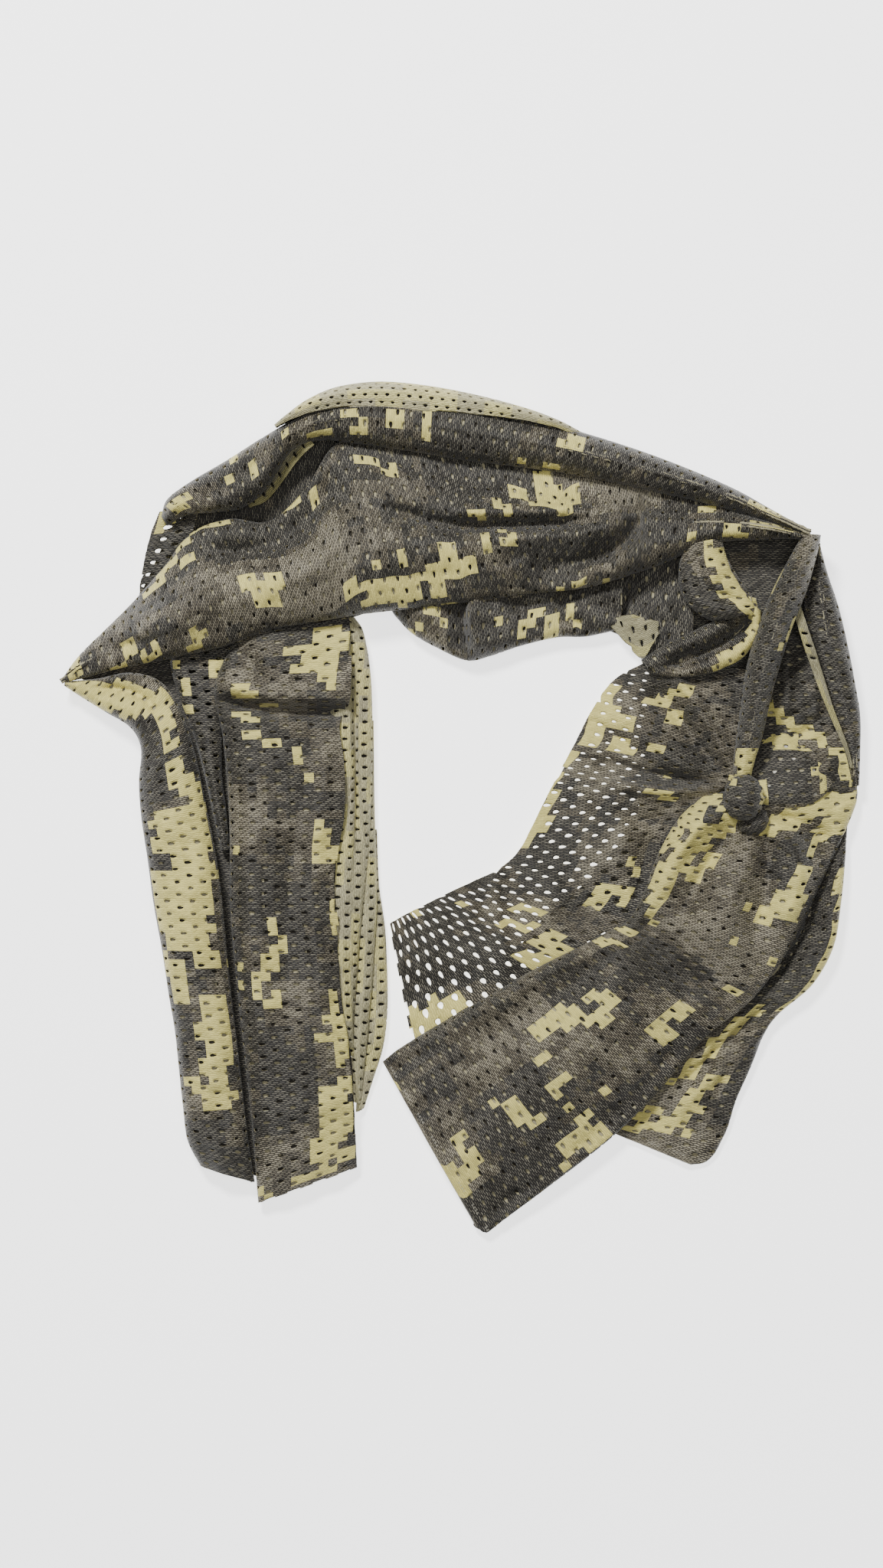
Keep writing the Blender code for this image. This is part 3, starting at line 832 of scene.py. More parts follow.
# The pocket's reverse lies in shadow: tone 0.4 darkens it as painted shade.
place("pocket_cloth", [
    (-103, 147, -100, 143, 2, 7), (-95, 153, -91, 147, 2, 9), (-87, 163, -83, 156, 2, 12),
    (-80, 172, -76, 165, 2, 15), (-73, 177, -69, 172, 3, 18),
], seed=9, dome=-3.0, wrinkle=0.8, lining=None, reverse_up=True, tone=0.4, **FLAT)
place("main_band_cloth", [
    (-189.5, 61, -189, 59.5, 11, 16), (-181, 73, -178, 61.5, 9, 20), (-169, 85, -163, 65.5, 8, 24),
    (-155, 99, -144, 69, 8, 27), (-141, 115, -128, 72.5, 8, 29), (-128, 131, -112, 76, 8, 30),
    (-110, 138, -93, 83, 8, 31), (-91, 137, -76, 86.5, 7, 31), (-74, 152, -60, 89, 6, 31),
    (-59, 174, -45, 91.5, 5, 31), (-38, 175, -22, 94, 4, 30), (-8, 171, 6, 97.5, 4, 29), (22, 166, 32, 101),
    (56, 160, 60, 104, 5, 29), (92, 153, 90, 113, 6, 30), (122, 145, 119, 124.5, 8, 31),
    (146, 137, 146, 127, 11, 31), (165, 129.5, 165, 127, 16, 31),
], ["main_band"], blobs=pale_at(
    (-50, 103, 5, 5), (-38, 101, 7, 8), (-24, 102, 8, 8), (-11, 105, 8, 6), (-5, 112, 5, 5),
    (-8, 120, 6, 4.5), (-40, 115, 4, 2.5), (-28, 116, 4, 2.5), (4, 113, 5, 4), (11, 125, 7, 2.5),
    (23, 123.5, 2.5, 6), (-6, 96, 3, 6), (41, 156, 4, 6), (46, 145, 8.5, 11), (28, 150, 4, 5),
    (17, 143, 3.5, 3.5), (9, 137, 3, 4), (22.5, 141, 4.5, 2.5), (43, 161, 3, 3), (-147, 104, 2.2, 6),
    (-139, 115, 2.2, 6), (-132, 125, 2.2, 6), (-124, 134, 2.5, 4), (-114, 134, 3, 4), (-101, 106, 4, 4),
    (-88, 108, 5, 5), (-90, 98, 4, 5), (-126, 83, 4, 3), (-126, 76, 3, 4), (-121, 81, 3, 3),
    (-157, 76, 5, 3.5), (-147, 72, 3, 8), (-162, 67, 2.5, 5), (-183, 66, 6, 6), (-46, 165, 3, 5),
    (-34, 160, 3.5, 6), (-69, 147, 4, 4), (-130, 117, 3, 6), (57, 106, 3, 4), (68, 107, 2.5, 3),
    (46, 104, 3, 4), (108, 128, 4, 3), (128, 131, 3, 6), (146, 133, 3.5, 12), (115, 141, 2.5, 4),
    (-80, 152, 6, 3), (-88, 141, 2.5, 8), (-120, 137, 2.5, 6),
) + [
    (-62, 122, 22, 30, 0.09), (-118, 98, 14, 16, 0.07), (-148, 86, 6, 10, 0.08), (70, 118, 10, 14, 0.05),
    (-95, 128, 14, 26, -0.14), (0, 158, 14, 44, -0.12), (100, 138, 12, 16, -0.08), (40, 112, 9, 14, -0.14),
    (-60, 88, 6, 30, -0.06),
], folds=[
    (((-151, 102), (-137, 118), (-128, 130), (-115, 134), (-97, 130)), 3.0, 2, 4),
    (((-120, 122), (-98, 123), (-82, 133), (-70, 147), (-61, 162)), -6.5, 6, 11),
    (((-118, 137), (-97, 136), (-86, 140), (-78, 152), (-66, 166)), 2.5, 3, 3),
    (((-62, 174), (-30, 169), (0, 165), (40, 158), (75, 151.5), (105, 147.5), (134, 140)), -7.0, 4, 9),
    (((-6, 139), (20, 139.5), (44, 140), (60, 140)), 3.0, 6, 4),
    (((-34, 142), (-8, 135), (20, 134), (46, 135), (64, 136)), -5.5, 2.5, 4),
    (((-4, 124), (26, 127), (52, 130), (74, 132)), 3.5, 6, 6),
    (((84, 143), (83, 133), (74, 124), (60, 116), (46, 109), (34, 103)), -7.5, 3.5, 7),
    (((46, 104), (72, 113), (100, 122), (130, 131), (152, 131)), 3.5, 6, 6),
    (((84, 146), (104, 147), (130, 140)), -6.0, 3, 4),
    (((80, 141), (90, 139), (108, 138)), 2.0, 3, 5),
    (((-6, 99), (14, 102), (34, 105), (48, 108)), -5.0, 4, 4),
    (((10, 107), (22, 112), (32, 116)), 2.0, 2, 2),
    (((-160, 84), (-120, 96), (-80, 108), (-40, 118), (-8, 118)), 3.5, 16, 12),
    (((-172, 75), (-150, 79), (-120, 83), (-90, 87), (-60, 92)), -2.0, 3, 4),
    (((122, 135), (140, 131), (158, 128)), -3.0, 2.5, 3),
    (((-60, 150), (-48, 140), (-46, 128), (-54, 116)), -2.0, 7, 9),
    (((-92, 96), (-70, 104), (-52, 116)), -1.5, 5, 6),
], seed=2, dome=2.0, slope=(0.45, 0.12), wrinkle=1.0, size=40)
place("lower_flap_cloth", [
    (-36, 100, -31, 91.5, 2, 10), (-24, 104, -23, 83, 2, 13), (-10, 106, -11, 76, 2, 14), (3, 108, 3, 70),
    (16, 109, 14, 72), (32, 111, 29, 77), (48, 113, 46, 81, 2, 13), (62, 116, 60, 81.5, 2, 12),
    (78, 120, 76, 85, 2, 11),
], ["lower_flap"], blobs=pale_at(
    (38, 92, 6, 5), (32, 88, 3, 3), (45, 90, 4, 4), (30, 82, 3, 3), (43, 84, 3, 3), (55, 100, 3, 3),
    (53, 94, 3, 3), (56, 87, 2.5, 4), (-14, 95, 2.5, 5), (-6, 90, 2.5, 3), (12, 88, 2.5, 4), (20, 89, 2.5, 4),
) + [(10, 82, 14, 26, -0.16), (50, 100, 12, 20, -0.14)], folds=[
    (((2, 108), (1, 90), (4, 72)), -5.0, 2.2, 5),
    (((8, 108), (6, 90), (9, 74)), 2.5, 4, 4),
    (((20, 100), (30, 96), (48, 99), (60, 104)), -3.0, 4, 5),
    (((48, 100), (50, 92), (58, 86)), -2.5, 2.5, 4),
], seed=12, dome=1.5, wrinkle=0.8)
place("inner_layer_cloth", [
    (58, 118, 58, 84, 2, 8), (70, 120, 72, 84), (84, 122, 84, 76), (98, 124, 93, 68, 2, 9),
    (112, 126, 110, 68, 2, 10),
], ["inner_layer"], blobs=pale_at((66, 94, 3.5, 3.5), (73, 89, 3, 4)) + [(88, 105, 24, 24, -0.14)], folds=[
    (((76, 120), (78, 100), (76, 84)), -3, 3, 4),
], seed=14, curl=(False, True), dome=0.0, wrinkle=0.9)
# Its reverse is darkened by tone 0.7 as painted shade.
place("turned_patch_cloth", [
    (70, 88, 73, 85, 7, 10), (75, 91, 78, 79, 7, 11), (82, 92, 86, 71, 7, 12), (89, 90, 91, 77),
    (94, 89, 95, 84),
], seed=15, dome=1.0, wrinkle=0.6, lining=None, reverse_up=True, tone=0.7, **FLAT)
place("loop_fold_upper", [
    (105, 124, 124, 128, 12, 26), (103, 115, 127, 118, 10, 27), (103, 106, 133, 108, 9, 28),
    (106, 98, 138, 101), (112, 92, 141, 96, 9, 27), (120, 88, 142, 92, 9, 24),
], ["loop_fold"], blobs=pale_at(
    (121, 121, 5, 4), (116, 116, 3.5, 3.5), (124, 113, 5, 4.5), (128, 107, 5, 4), (120, 107, 4, 3),
    (131, 101, 5, 4), (136, 96, 4, 4), (138, 90, 4, 4), (127, 100, 3, 3),
) + [(107, 108, 7, 14, -0.16), (120, 92, 9, 6, -0.16)], folds=[
    (((112, 122), (112, 112), (118, 103), (130, 97)), -3.0, 3, 4),
], seed=17, dome=2.0, wrinkle=0.8)
place("loop_fold_lower", [
    (131, 101, 141.5, 99, 6, 24), (130, 96, 143, 90, 6, 26), (128, 92, 141, 80, 5, 25),
    (119, 89, 131, 68, 5, 23), (107, 83, 116, 63, 4, 20), (95, 77, 102, 62, 4, 16), (86, 71, 90, 64, 3, 11),
], blobs=pale_at(
    (138, 95, 5, 5), (140, 89, 5, 4), (139, 83, 5, 4), (135, 77, 5, 5), (129, 71, 5, 5), (122, 66, 4, 4),
) + [(110, 80, 12, 24, -0.18), (96, 70, 12, 10, -0.18)], folds=[
    (((137, 94), (134, 86), (124, 78), (110, 72), (96, 67)), -7.5, 2.5, 3.5),
    (((130, 96), (124, 87), (112, 82), (96, 74)), 2.0, 2.5, 3),
], seed=18, dome=1.5, wrinkle=0.8)
place("corner_roll_cloth", [
    (161, 129, 170.5, 129, 12, 30), (156, 120, 169, 121, 8, 33), (147, 103, 164.5, 104, 5, 34),
    (140, 85, 158, 87, 4, 34), (135, 67, 152, 69, 4, 33), (132.5, 50, 147, 51, 4, 32),
    (130.5, 35, 143.5, 35, 4, 31), (129, 22, 139.5, 22, 6, 29), (129.5, 12, 137, 12, 9, 26),
], ["corner_roll"], blobs=pale_at(
    (135, 27, 7, 4), (134, 18, 7, 6), (150, 112, 3, 4), (146, 104, 2.5, 5), (156, 84, 2.5, 5),
    (152, 76, 2.5, 4),
) + [(143, 60, 14, 30, -0.08)], folds=[
    (((168, 124), (164, 108), (156, 88), (150, 70), (145, 50)), -1.5, 2, 2),
    (((139, 34), (136, 24), (134, 12)), -2.0, 1.5, 1.5),
], seed=21, dome=0.5, wrinkle=0.5)
place("outer_flap_cloth", [
    (167, 127, 170.5, 126, 3, 20), (165, 114, 174.5, 112), (163, 98, 180, 96, 2, 20),
    (165, 80, 184.5, 78, 2, 19), (170, 61, 188, 60, 2, 18), (177, 42, 190.5, 44, 2, 17),
    (183, 26, 190.5, 28, 2, 15), (186, 10, 190, 11, 2, 12),
], ["outer_flap"], blobs=[(178, 80, 20, 60, -0.16)], seed=23, dome=1.0, wrinkle=0.8)
# Its reverse is darkened by tone 0.6 as painted shade.
place("turned_edge_cloth", [
    (156, 97, 160, 98, 10, 22), (159, 86, 164, 86, 8, 22), (163, 74, 168.5, 73, 8, 21.5),
    (168, 60, 172.5, 60, 8, 20.5), (174, 45, 177.5, 45, 8, 19), (181, 30, 183.5, 30, 8, 17),
    (185, 19, 186.5, 19, 6, 14),
], seed=24, dome=0.8, wrinkle=0.3, lining=None, reverse_up=True, tone=0.6, **FLAT)
place("fan_panel_cloth", [
    (154, 92, 160, 92, 1, 6), (149, 75, 168, 74, 1, 7), (144, 58, 174, 58, 1, 8), (141, 42, 181, 42, 1, 9),
    (139, 28, 187, 28, 1, 10), (137, 14, 189.5, 15), (134, 2, 189, 4, 1, 6),
], ["fan_panel"], blobs=pale_at(
    (148, 46, 3, 4), (152, 43, 4, 4), (158, 40, 4, 4), (165, 37, 4, 4), (172, 33, 4, 4), (179, 27, 4, 4),
    (185, 20, 4, 4), (183, 26, 3, 3), (186, 13, 4, 5),
) + [(160, 76, 14, 14, -0.14), (160, 56, 8, 20, -0.1)], folds=[
    (((146, 30), (160, 34), (172, 44), (176, 60)), -1.5, 3, 5),
    (((148, 40), (153, 52), (156, 66), (156, 80)), 1.5, 4, 4),
], seed=26, curl=(False, True), dome=1.5, wrinkle=1.0)
place("web_under_layer", [
    (96, 69, 136, 64, 0.6, 1.6), (88, 54, 140, 46), (88, 40, 140, 32), (88, 24, 140, 14), (86, 4, 116, -2),
    (78, -14, 104, -18), (64, -32, 94, -36), (44, -48, 84, -50), (28, -66, 46, -72),
], seed=28, wrinkle=0.2, **UNDER_LAYER)
place("mesh_web_cloth", [
    (91, 71, 138, 66, 1, 8), (74, 62, 138, 50, 1, 9), (64, 49, 138, 34), (55, 32, 134, 16),
    (45, 13, 118, 4, 1, 7.5), (36, -5, 106, -6, 1, 5.5), (28, -20, 98, -20, 1, 4.6),
    (19, -28.5, 94, -38, 1, 3.8), (8, -34, 87, -56, 1, 3.0), (-3, -39, 66, -71, 1, 2.8),
    (-14, -44.5, 43, -81, 1, 2.6), (-25, -50, 12, -98, 1, 2.5), (-34, -55, -22, -117, 1, 2.4),
], ["mesh_web", "back_tail"], blobs=pale_at(
    (68, 55, 7, 7), (70, 45, 7, 7), (64, 37, 5, 7), (78, 41, 6, 5), (60, 50, 5, 5), (75, 31, 4, 4),
    (96, 52, 6, 6), (102, 44, 5, 5), (107, 57, 3, 4), (92, 28, 5, 4), (95, 16, 6, 4), (90, 8, 5, 3.5),
    (99, 6, 4, 4), (52, 24, 3, 6), (46, 14, 3, 7), (40, 1, 3, 7), (38, -8, 3.5, 4), (31, -16, 3, 3),
    (64, -44, 4, 5), (69, -39, 3, 4), (80, -26, 3, 3), (84, -32, 3, 3), (78, -42, 4, 3), (22, -54, 4, 4),
    (30, -57, 4, 4), (36, -50, 4, 2.5), (40, -62, 5, 5), (44, -68, 5, 5), (34, -73, 6, 3.5),
    (30, -47, 2.5, 4), (-17, -96, 4, 7), (-7, -96, 4, 4), (-24, -106, 4, 6), (-14, -105, 6, 5),
    (-1, -92, 3, 3.5), (-20, -50, 2.5, 3.5),
) + [
    (72, 4, 16, 14, 0.06), (98, 14, 20, 7, -0.16), (84, -14, 14, 18, 0.08), (-8, -66, 20, 22, -0.12),
], folds=[
    (((17, -30), (18, -50), (23, -74)), 2.2, 1.8, 3),
    (((10, -32), (12, -52), (16, -76)), -1.0, 2, 2),
    (((92, 62), (104, 44), (116, 28), (126, 16)), -3.5, 3, 5),
    (((100, 66), (112, 50), (122, 34), (129, 20)), 3.0, 3, 4),
    (((76, 52), (92, 34), (108, 18), (122, 10)), 2.5, 4, 5),
    (((62, 24), (82, 19), (100, 15), (124, 12)), -4.5, 3, 5),
    (((70, 12), (96, 8), (110, 9), (122, 9)), 3.0, 3, 3),
    (((70, 0), (88, -6), (100, -4)), -2.0, 4, 4),
    (((84, -46), (88, -28), (95, -12)), -2.5, 5, 4),
    (((60, 44), (74, 34), (90, 22)), -2.0, 3, 3),
    (((50, 24), (66, 6), (76, -14), (80, -36)), 1.2, 8, 8),
], seed=29, dome=0.8, wrinkle=0.7, size=34, lining=None, eyelet=(1.0, 1.1, 0.5), slope=(0.7, 0.0), **FLAT)
place("fan_lens_cloth", [
    (136, 22, 137, 5, 4, 17), (142, 32, 144.5, 0.5, 4, 18), (150, 38, 152, -1.0), (158, 38, 160, -0.5),
    (166, 35, 167.5, 2, 4, 17), (172, 31, 173, 6, 4, 15.5), (177, 28, 177, 11, 3, 13),
], blobs=pale_at(
    (144, 13, 3, 2.5), (145, 5, 4, 3), (146, 32, 3, 4), (152, 33, 4, 4), (158, 32, 4, 4), (165, 29, 4, 3.5),
    (170, 20, 3, 3), (174, 24, 3, 3.5), (172, 12, 4, 2.5),
) + [(156, 14, 12, 9, -0.2), (150, 22, 8, 5, -0.2), (164, 14, 8, 5, -0.2)], folds=[
    (((138, 8), (146, 6), (158, 8), (168, 14)), 1.2, 3, 4),
], seed=30, curl=(False, True), dome=1.0, rounding=0.3, under=2, slope=(0.85, 0.05), wrinkle=0.5,
    pitch=(6.2, 6.4), eyelet=(0.55, 1.7, 0.0), turned=True, lining="pale")
place("side_sheet_cloth", [
    (172, 4, 188, 8, 1, 4), (170, -14, 185, -8, 1, 6), (163, -34, 183.5, -27, 1, 12),
    (155, -52, 181.5, -46, 1, 15), (146, -68, 178, -66, 1, 14), (134, -84, 168, -84, 1, 12),
    (121, -97, 152, -98, 1, 10), (110, -109, 145, -108, 1, 8), (100, -121, 139, -123, 0.8, 7),
    (90, -133, 132, -139, 0.8, 6), (80, -144, 128, -152, 0.8, 5), (76.5, -149.5, 125, -158.5, 0.8, 4.4),
    (74.3, -152, 121.5, -165, 0.8, 4.0), (72.8, -153.7, 117, -169.2, 0.8, 3.7),
    (72, -154.5, 110.5, -170.3, 0.8, 3.5),
], ["side_tail_root", "side_tail", "side_tail_selvedge"], blobs=pale_at(
    (141, -97, 5, 6), (130, -105, 5, 7), (120, -113, 5, 7), (110, -125, 6, 7), (112, -137, 6, 7),
    (106, -147, 5, 6), (119, -131, 4, 5), (99, -151, 5, 3.5), (90, -147, 3, 5), (84, -151, 3, 5),
    (182, -34, 4, 8), (184, -46, 3, 6), (178, -62, 5, 7), (176, -74, 5, 6), (169, -84, 5, 6),
    (158, -93, 4, 6),
) + [(168, -50, 8, 16, -0.16), (134, -128, 6, 26, -0.14), (150, -92, 6, 14, -0.14)], folds=[
    (((174, -24), (169, -42), (164, -58), (152, -76), (138, -90)), -7.0, 6, 4),
    (((150, -90), (136, -104), (120, -118), (104, -134)), -3.0, 4, 3),
    (((152, -102), (140, -112), (122, -126), (108, -140)), 1.5, 3, 3),
], seed=31, body="side_tail", blend=((112, -140, 3), (99, -152, 3)), dome=0.8, wrinkle=0.7, selvedge=True)
place("swirl_and_front_tail", [
    (124, 12, 189, 14, 2, 4.5), (113, 4, 189.3, 4, 2, 12), (104, -4, 184, -10, 2, 16),
    (98, -13, 178, -23, 2, 19), (92, -25, 171, -38, 2, 20), (87, -39, 162, -57), (80, -52, 151, -76, 4, 21),
    (70, -58, 137, -93, 4.5, 21), (57, -65, 117, -109, 4.5, 20), (35, -76, 96, -133, 4.5, 19),
    (11, -90, 72, -157, 4.5, 18), (-14, -104.5, 40, -182, 4, 15), (-29, -114, 22, -195.5, 3.6, 11),
    (-34, -118, 16, -200.3, 3.4, 9), (-36.2, -119.8, 12, -202.6, 3.4, 8.2),
    (-37, -120.5, 7.5, -199.5, 3.4, 7.6),
], ["swirl_panel", "front_tail", "front_tail_selvedge"], blobs=pale_at(
    (120, 5, 7, 7), (108, -3, 8, 8), (100, -13, 8, 8), (104, -23, 8, 8), (114, -15, 7, 7), (118, -24, 5, 5),
    (97, -34, 7, 7), (92, -43, 5, 5), (90, -50, 4, 5), (111, -31, 5, 5), (127, -4, 5, 5), (121, -11, 6, 5),
    (146, -10, 4, 4), (150, -8, 6, 7), (157, -4, 7, 7), (166, -4, 5, 5), (171, 4, 5, 4), (184, 4, 6, 6),
    (180, -6, 7, 5), (174, -13, 6, 4), (167, -19, 3, 3), (186, 11, 5, 4), (177, 7, 4, 4), (161, -30, 4, 5),
    (156, -38, 5, 5), (150, -46, 6, 6), (144, -52, 4, 3.5), (158, -49, 4, 4), (78, -57, 5, 4),
    (67, -62, 6, 4), (75, -64, 4, 3), (62, -88, 3.5, 4), (70, -91, 3.5, 3.5), (46, -95, 4, 4),
    (53, -98, 4, 5), (61, -101, 3.5, 4), (40, -103, 4, 4), (68, -98, 3.5, 3.5), (38, -108, 3, 3),
    (44, -132, 4, 5), (48, -128, 3, 3), (39, -119, 3.5, 3), (68, -134, 3, 3.5), (24, -142, 4, 4),
    (18, -140, 3, 3), (28, -146, 3.5, 3.5), (36, -148, 3.5, 3.5), (50, -142, 3.5, 3.5), (62, -145, 3, 3),
    (58, -153, 5, 5), (52, -161, 4, 4), (60, -159, 4, 4), (67, -154, 3, 3.5), (48, -170, 4, 3),
    (0, -158, 4, 4), (6, -164, 4, 4), (2, -172, 5, 5), (-4, -175, 6, 5), (-6, -184, 5, 6), (2, -182, 4, 4),
    (-33, -131, 3.5, 4), (104, -97, 3.5, 3.5), (98, -106, 3.5, 3.5), (94, -103, 3, 3), (99, -100, 3, 3),
    (129, -86, 3, 3),
) + [
    # (92, -72) darkens the root of the tail, and (24, -186) and (8, -198) its lower edge, as painted shade.
    (128, -58, 20, 26, 0.07), (76, -112, 15, 13, 0.06), (8, -122, 26, 30, 0.035), (92, -72, 17, 16, -0.2),
    (150, -22, 12, 12, -0.1), (14, -150, 12, 24, -0.06), (24, -186, 14, 26, -0.2), (8, -198, 8, 10, -0.2),
    (76, -146, 10, 20, -0.1),
], folds=[
    (((130, -2), (116, -6), (104, -16), (96, -30), (90, -44)), 3.5, 4, 4, 0.6),
    (((132, -8), (122, -20), (112, -36), (104, -52)), -4.0, 2.5, 3.5, 1.0),
    (((138, -10), (134, -28), (126, -48), (116, -66)), 2.5, 4, 4, 1.2),
    (((142, -8), (146, -26), (144, -46), (136, -66)), -3.0, 2.5, 3.5, 1.2),
    (((146, -6), (158, -20), (162, -38), (156, -58)), 2.5, 4, 4, 1.0),
    (((148, -2), (164, -8), (176, -18), (181, -30)), -3.5, 2.5, 3.5, 0.8),
    (((130, 10), (122, 10), (114, 6)), -4.0, 2.5, 3),
    (((82, -46), (92, -60), (102, -74), (116, -90)), -6.0, 9, 7),
    (((84, -54), (64, -64), (32, -82), (4, -98), (-26, -117)), 2.0, 3, 6),
    (((78, -66), (56, -82), (30, -98), (4, -114)), -2.0, 7, 8),
    (((128, -96), (110, -114), (94, -132), (76, -150)), -2.0, 6, 6),
    (((86, -86), (56, -116), (26, -146), (2, -170)), 1.5, 14, 14),
    (((60, -140), (36, -160), (16, -178)), -1.2, 6, 6),
    (((134, -96), (98, -132), (73, -156), (42, -180), (12, -202)), -3.4, 13, 13),
    (((-16, -108), (-24, -116), (-34, -124)), -1.5, 8, 8),
], seed=33, body="front_tail", blend=((93, -79, 8), (76, -98, 8)), dome=2.5, slope=(0.0, 0.2), wrinkle=0.9,
    size=46, selvedge=True)
place("left_tube_cloth", [
    (-188, 58, -187, 60.5, 4, 14), (-180, 52.5, -172, 62, 3, 17), (-169, 45.5, -156, 65, 2, 20),
    (-157, 38, -141, 60, 2, 23), (-152, 28, -131, 44, 2, 24), (-153, 12, -125, 26, 2, 25),
    (-152, -4, -120, 2), (-149, -24, -115, -23), (-146, -46, -112, -46), (-142, -68, -110, -68),
    (-139, -88, -108, -88, 2, 24), (-136, -106, -106, -105, 2, 23), (-134, -125, -104, -123, 2, 22),
    (-132, -144, -102, -142, 2, 20), (-130, -158, -100, -160, 2, 17), (-124, -170, -97.5, -178, 1.5, 12),
], ["left_tube", "left_tube_end"], blobs=pale_at(
    (-181, 55, 8, 8), (-168, 53, 11, 8), (-154, 51, 10, 9), (-143, 46, 7, 8), (-138, 33, 4, 7),
    (-134, 16, 6, 9), (-124, 9, 6, 8), (-131, -8, 14, 9), (-131, -26, 16, 11), (-131, -46, 16, 11),
    (-129, -61, 12, 6), (-137, -75, 6, 7), (-134, -86, 4, 5), (-119, -73, 6, 5), (-116, -95, 7, 9),
    (-115, -112, 8, 12), (-114, -132, 7, 12), (-127, -131, 4, 3),
) + [
    (-140, -24, 3.5, 5, -0.4), (-147, 20, 5, 16, -0.3), (-128, 38, 4, 12, -0.3), (-128, -160, 24, 16, -0.14),
    (-134, -110, 6, 20, -0.12),
], folds=[
    (((-176, 58), (-158, 56), (-144, 50), (-136, 40)), -4.0, 4, 4),
    (((-150, 36), (-146, 28), (-149, 12), (-148, -4)), -4.5, 2.5, 3),
    (((-140, 40), (-132, 22), (-126, 4), (-120, -14)), -2.0, 3, 3),
], seed=35, body="leg_end", blend=((-120, -76, 10), (-120, -104, 10)), dome=0.8, wrinkle=0.7)
place("left_inner_roll", [
    (-139, 82, -108, 84, 1, 10), (-138, 66, -110, 66, 1, 13), (-133, 50, -112, 50, 1, 14),
    (-127, 34, -113, 34), (-122, 16, -113, 16), (-118, -2, -111, -2, 1, 13), (-114, -20, -109.5, -20, 1, 11),
], blobs=pale_at(
    (-134, 68, 3, 4), (-130, 58, 3, 4), (-115, 66, 4, 6), (-131, 48, 3, 3),
) + [(-120, 20, 10, 50, -0.12)], seed=37, dome=0.5, wrinkle=0.5, lining=None)
place("left_panel_cloth", [
    (-106, 92, -54, 96, 1, 8), (-108, 82, -52.5, 89, 2, 15), (-113, 70, -51.5, 76, 2, 20),
    (-117, 60, -51.5, 62, 2, 22), (-117, 50, -52.5, 50), (-114, 38, -57, 40, 2, 23),
    (-112, 20, -55, 22, 2, 24), (-110.5, 0, -54.5, 0), (-110, -20, -57.5, -20), (-110, -40, -59, -40),
    (-109, -60, -57, -60), (-107, -80, -57, -80), (-105, -100, -55, -98, 2, 23),
    (-102.5, -122, -51, -120, 2, 21), (-100, -146, -50, -142, 2, 18), (-98, -168, -49.5, -158, 2, 15),
    (-96.5, -188, -49, -171, 1.5, 10),
], ["left_panel", "left_panel_end"], blobs=pale_at(
    (-62, 83, 9, 6), (-66, 70, 9, 7), (-62, 62, 5, 5), (-75, 65, 5, 2.5), (-104, 56, 4, 3), (-99, 53, 5, 2.5),
    (-92, 49, 5, 2.5), (-104, 44, 4, 2), (-98, 41, 4, 2), (-98, 36, 3, 2.5), (-92, 32, 4, 3),
    (-86, 29, 3, 2.5), (-77, 25, 3, 5), (-66, -14, 4, 6), (-61, -20, 3.5, 5), (-60, -48, 3, 3.5),
    (-58, -57, 2.5, 5), (-90, -55, 3, 3.5), (-86, -63, 2.5, 7), (-90, -72, 3.5, 5), (-104, -73, 4, 2.5),
    (-95, -80, 7, 3), (-104, -83, 3.5, 2.5), (-97, -87, 3, 4), (-86, -88, 3, 4), (-91, -94, 2.5, 2.5),
    (-59, -92, 3, 5), (-57, -104, 5, 7), (-54, -115, 5, 5), (-64, -110, 3.5, 2.5), (-55, -130, 5, 5),
    (-62, -138, 6, 5), (-61, -150, 7, 7), (-53, -148, 4, 9), (-63, -160, 7, 7), (-54, -164, 5, 5),
    (-66, -172, 7, 3), (-76, -177, 7, 2.5), (-80, 75, 4, 3),
) + [
    (-93, 4, 3, 12, 0.11), (-98, -48, 5, 5, 0.09), (-92, -165, 8, 10, 0.08), (-80, -40, 10, 36, -0.06),
    (-78, 88, 16, 6, -0.12), (-84, -130, 12, 24, -0.08),
], folds=[
    (((-120, 53), (-106, 49.5), (-90, 46.5), (-70, 46), (-50, 46.5)), -5.5, 3, 4.5),
    (((-116, 58), (-96, 55), (-70, 53), (-52, 53)), 2.2, 4, 4),
    (((-74, 10), (-80, -30), (-82, -70), (-80, -110)), -1.6, 6, 6),
    (((-100, 40), (-101, 0), (-100, -40), (-98, -80), (-94, -130)), 1.2, 6, 6),
    (((-112, 80), (-100, 70), (-92, 58)), -2.5, 4, 4),
    (((-62, 40), (-66, 0), (-68, -40), (-64, -100)), 1.4, 5, 5),
], seed=39, body="leg_end", blend=((-80, -76, 10), (-80, -104, 10)), curl=(True, False), dome=1.6,
    slope=(0.0, 0.34), wrinkle=0.7, size=36)
place("pleat_one", [
    (-62, 92, -50, 91, 1, 9), (-62, 84, -45.5, 83, 1, 11), (-62, 60, -42, 60, 1, 12),
    (-64, 20, -41.5, 20, 1, 13), (-66, -20, -43, -20, 1, 14), (-66, -50, -46, -52, 1, 15),
    (-64, -76, -48, -76), (-60, -98, -50, -100, 1, 14), (-56, -116, -50, -118, 1, 11),
], ["left_pleats"], folds=[
    (((-51, 80), (-50, 40), (-49, 0), (-50, -40), (-52, -80)), -3.0, 1.2, 1.2),
    (((-46, 60), (-45, 20), (-45, -20)), -2.5, 1.0, 1.0),
], seed=41, dome=0.5, blend=((-55, -78, 8), (-55, -102, 8)), **PLEAT)
place("pleat_two", [
    (-50, 40, -41, 42, 1, 7), (-49, 0, -40.5, 0, 1, 8), (-49, -30, -39.5, -30, 1, 9),
    (-50, -56, -39.5, -56, 1, 10), (-51, -80, -41, -80), (-52, -102, -43, -104),
    (-52, -124, -45.5, -126, 1, 9), (-51, -140, -47, -141, 1, 6),
], ["left_pleats_end"], seed=43, dome=0.4, blend=((-46, -78, 6), (-46, -102, 6)), **PLEAT)
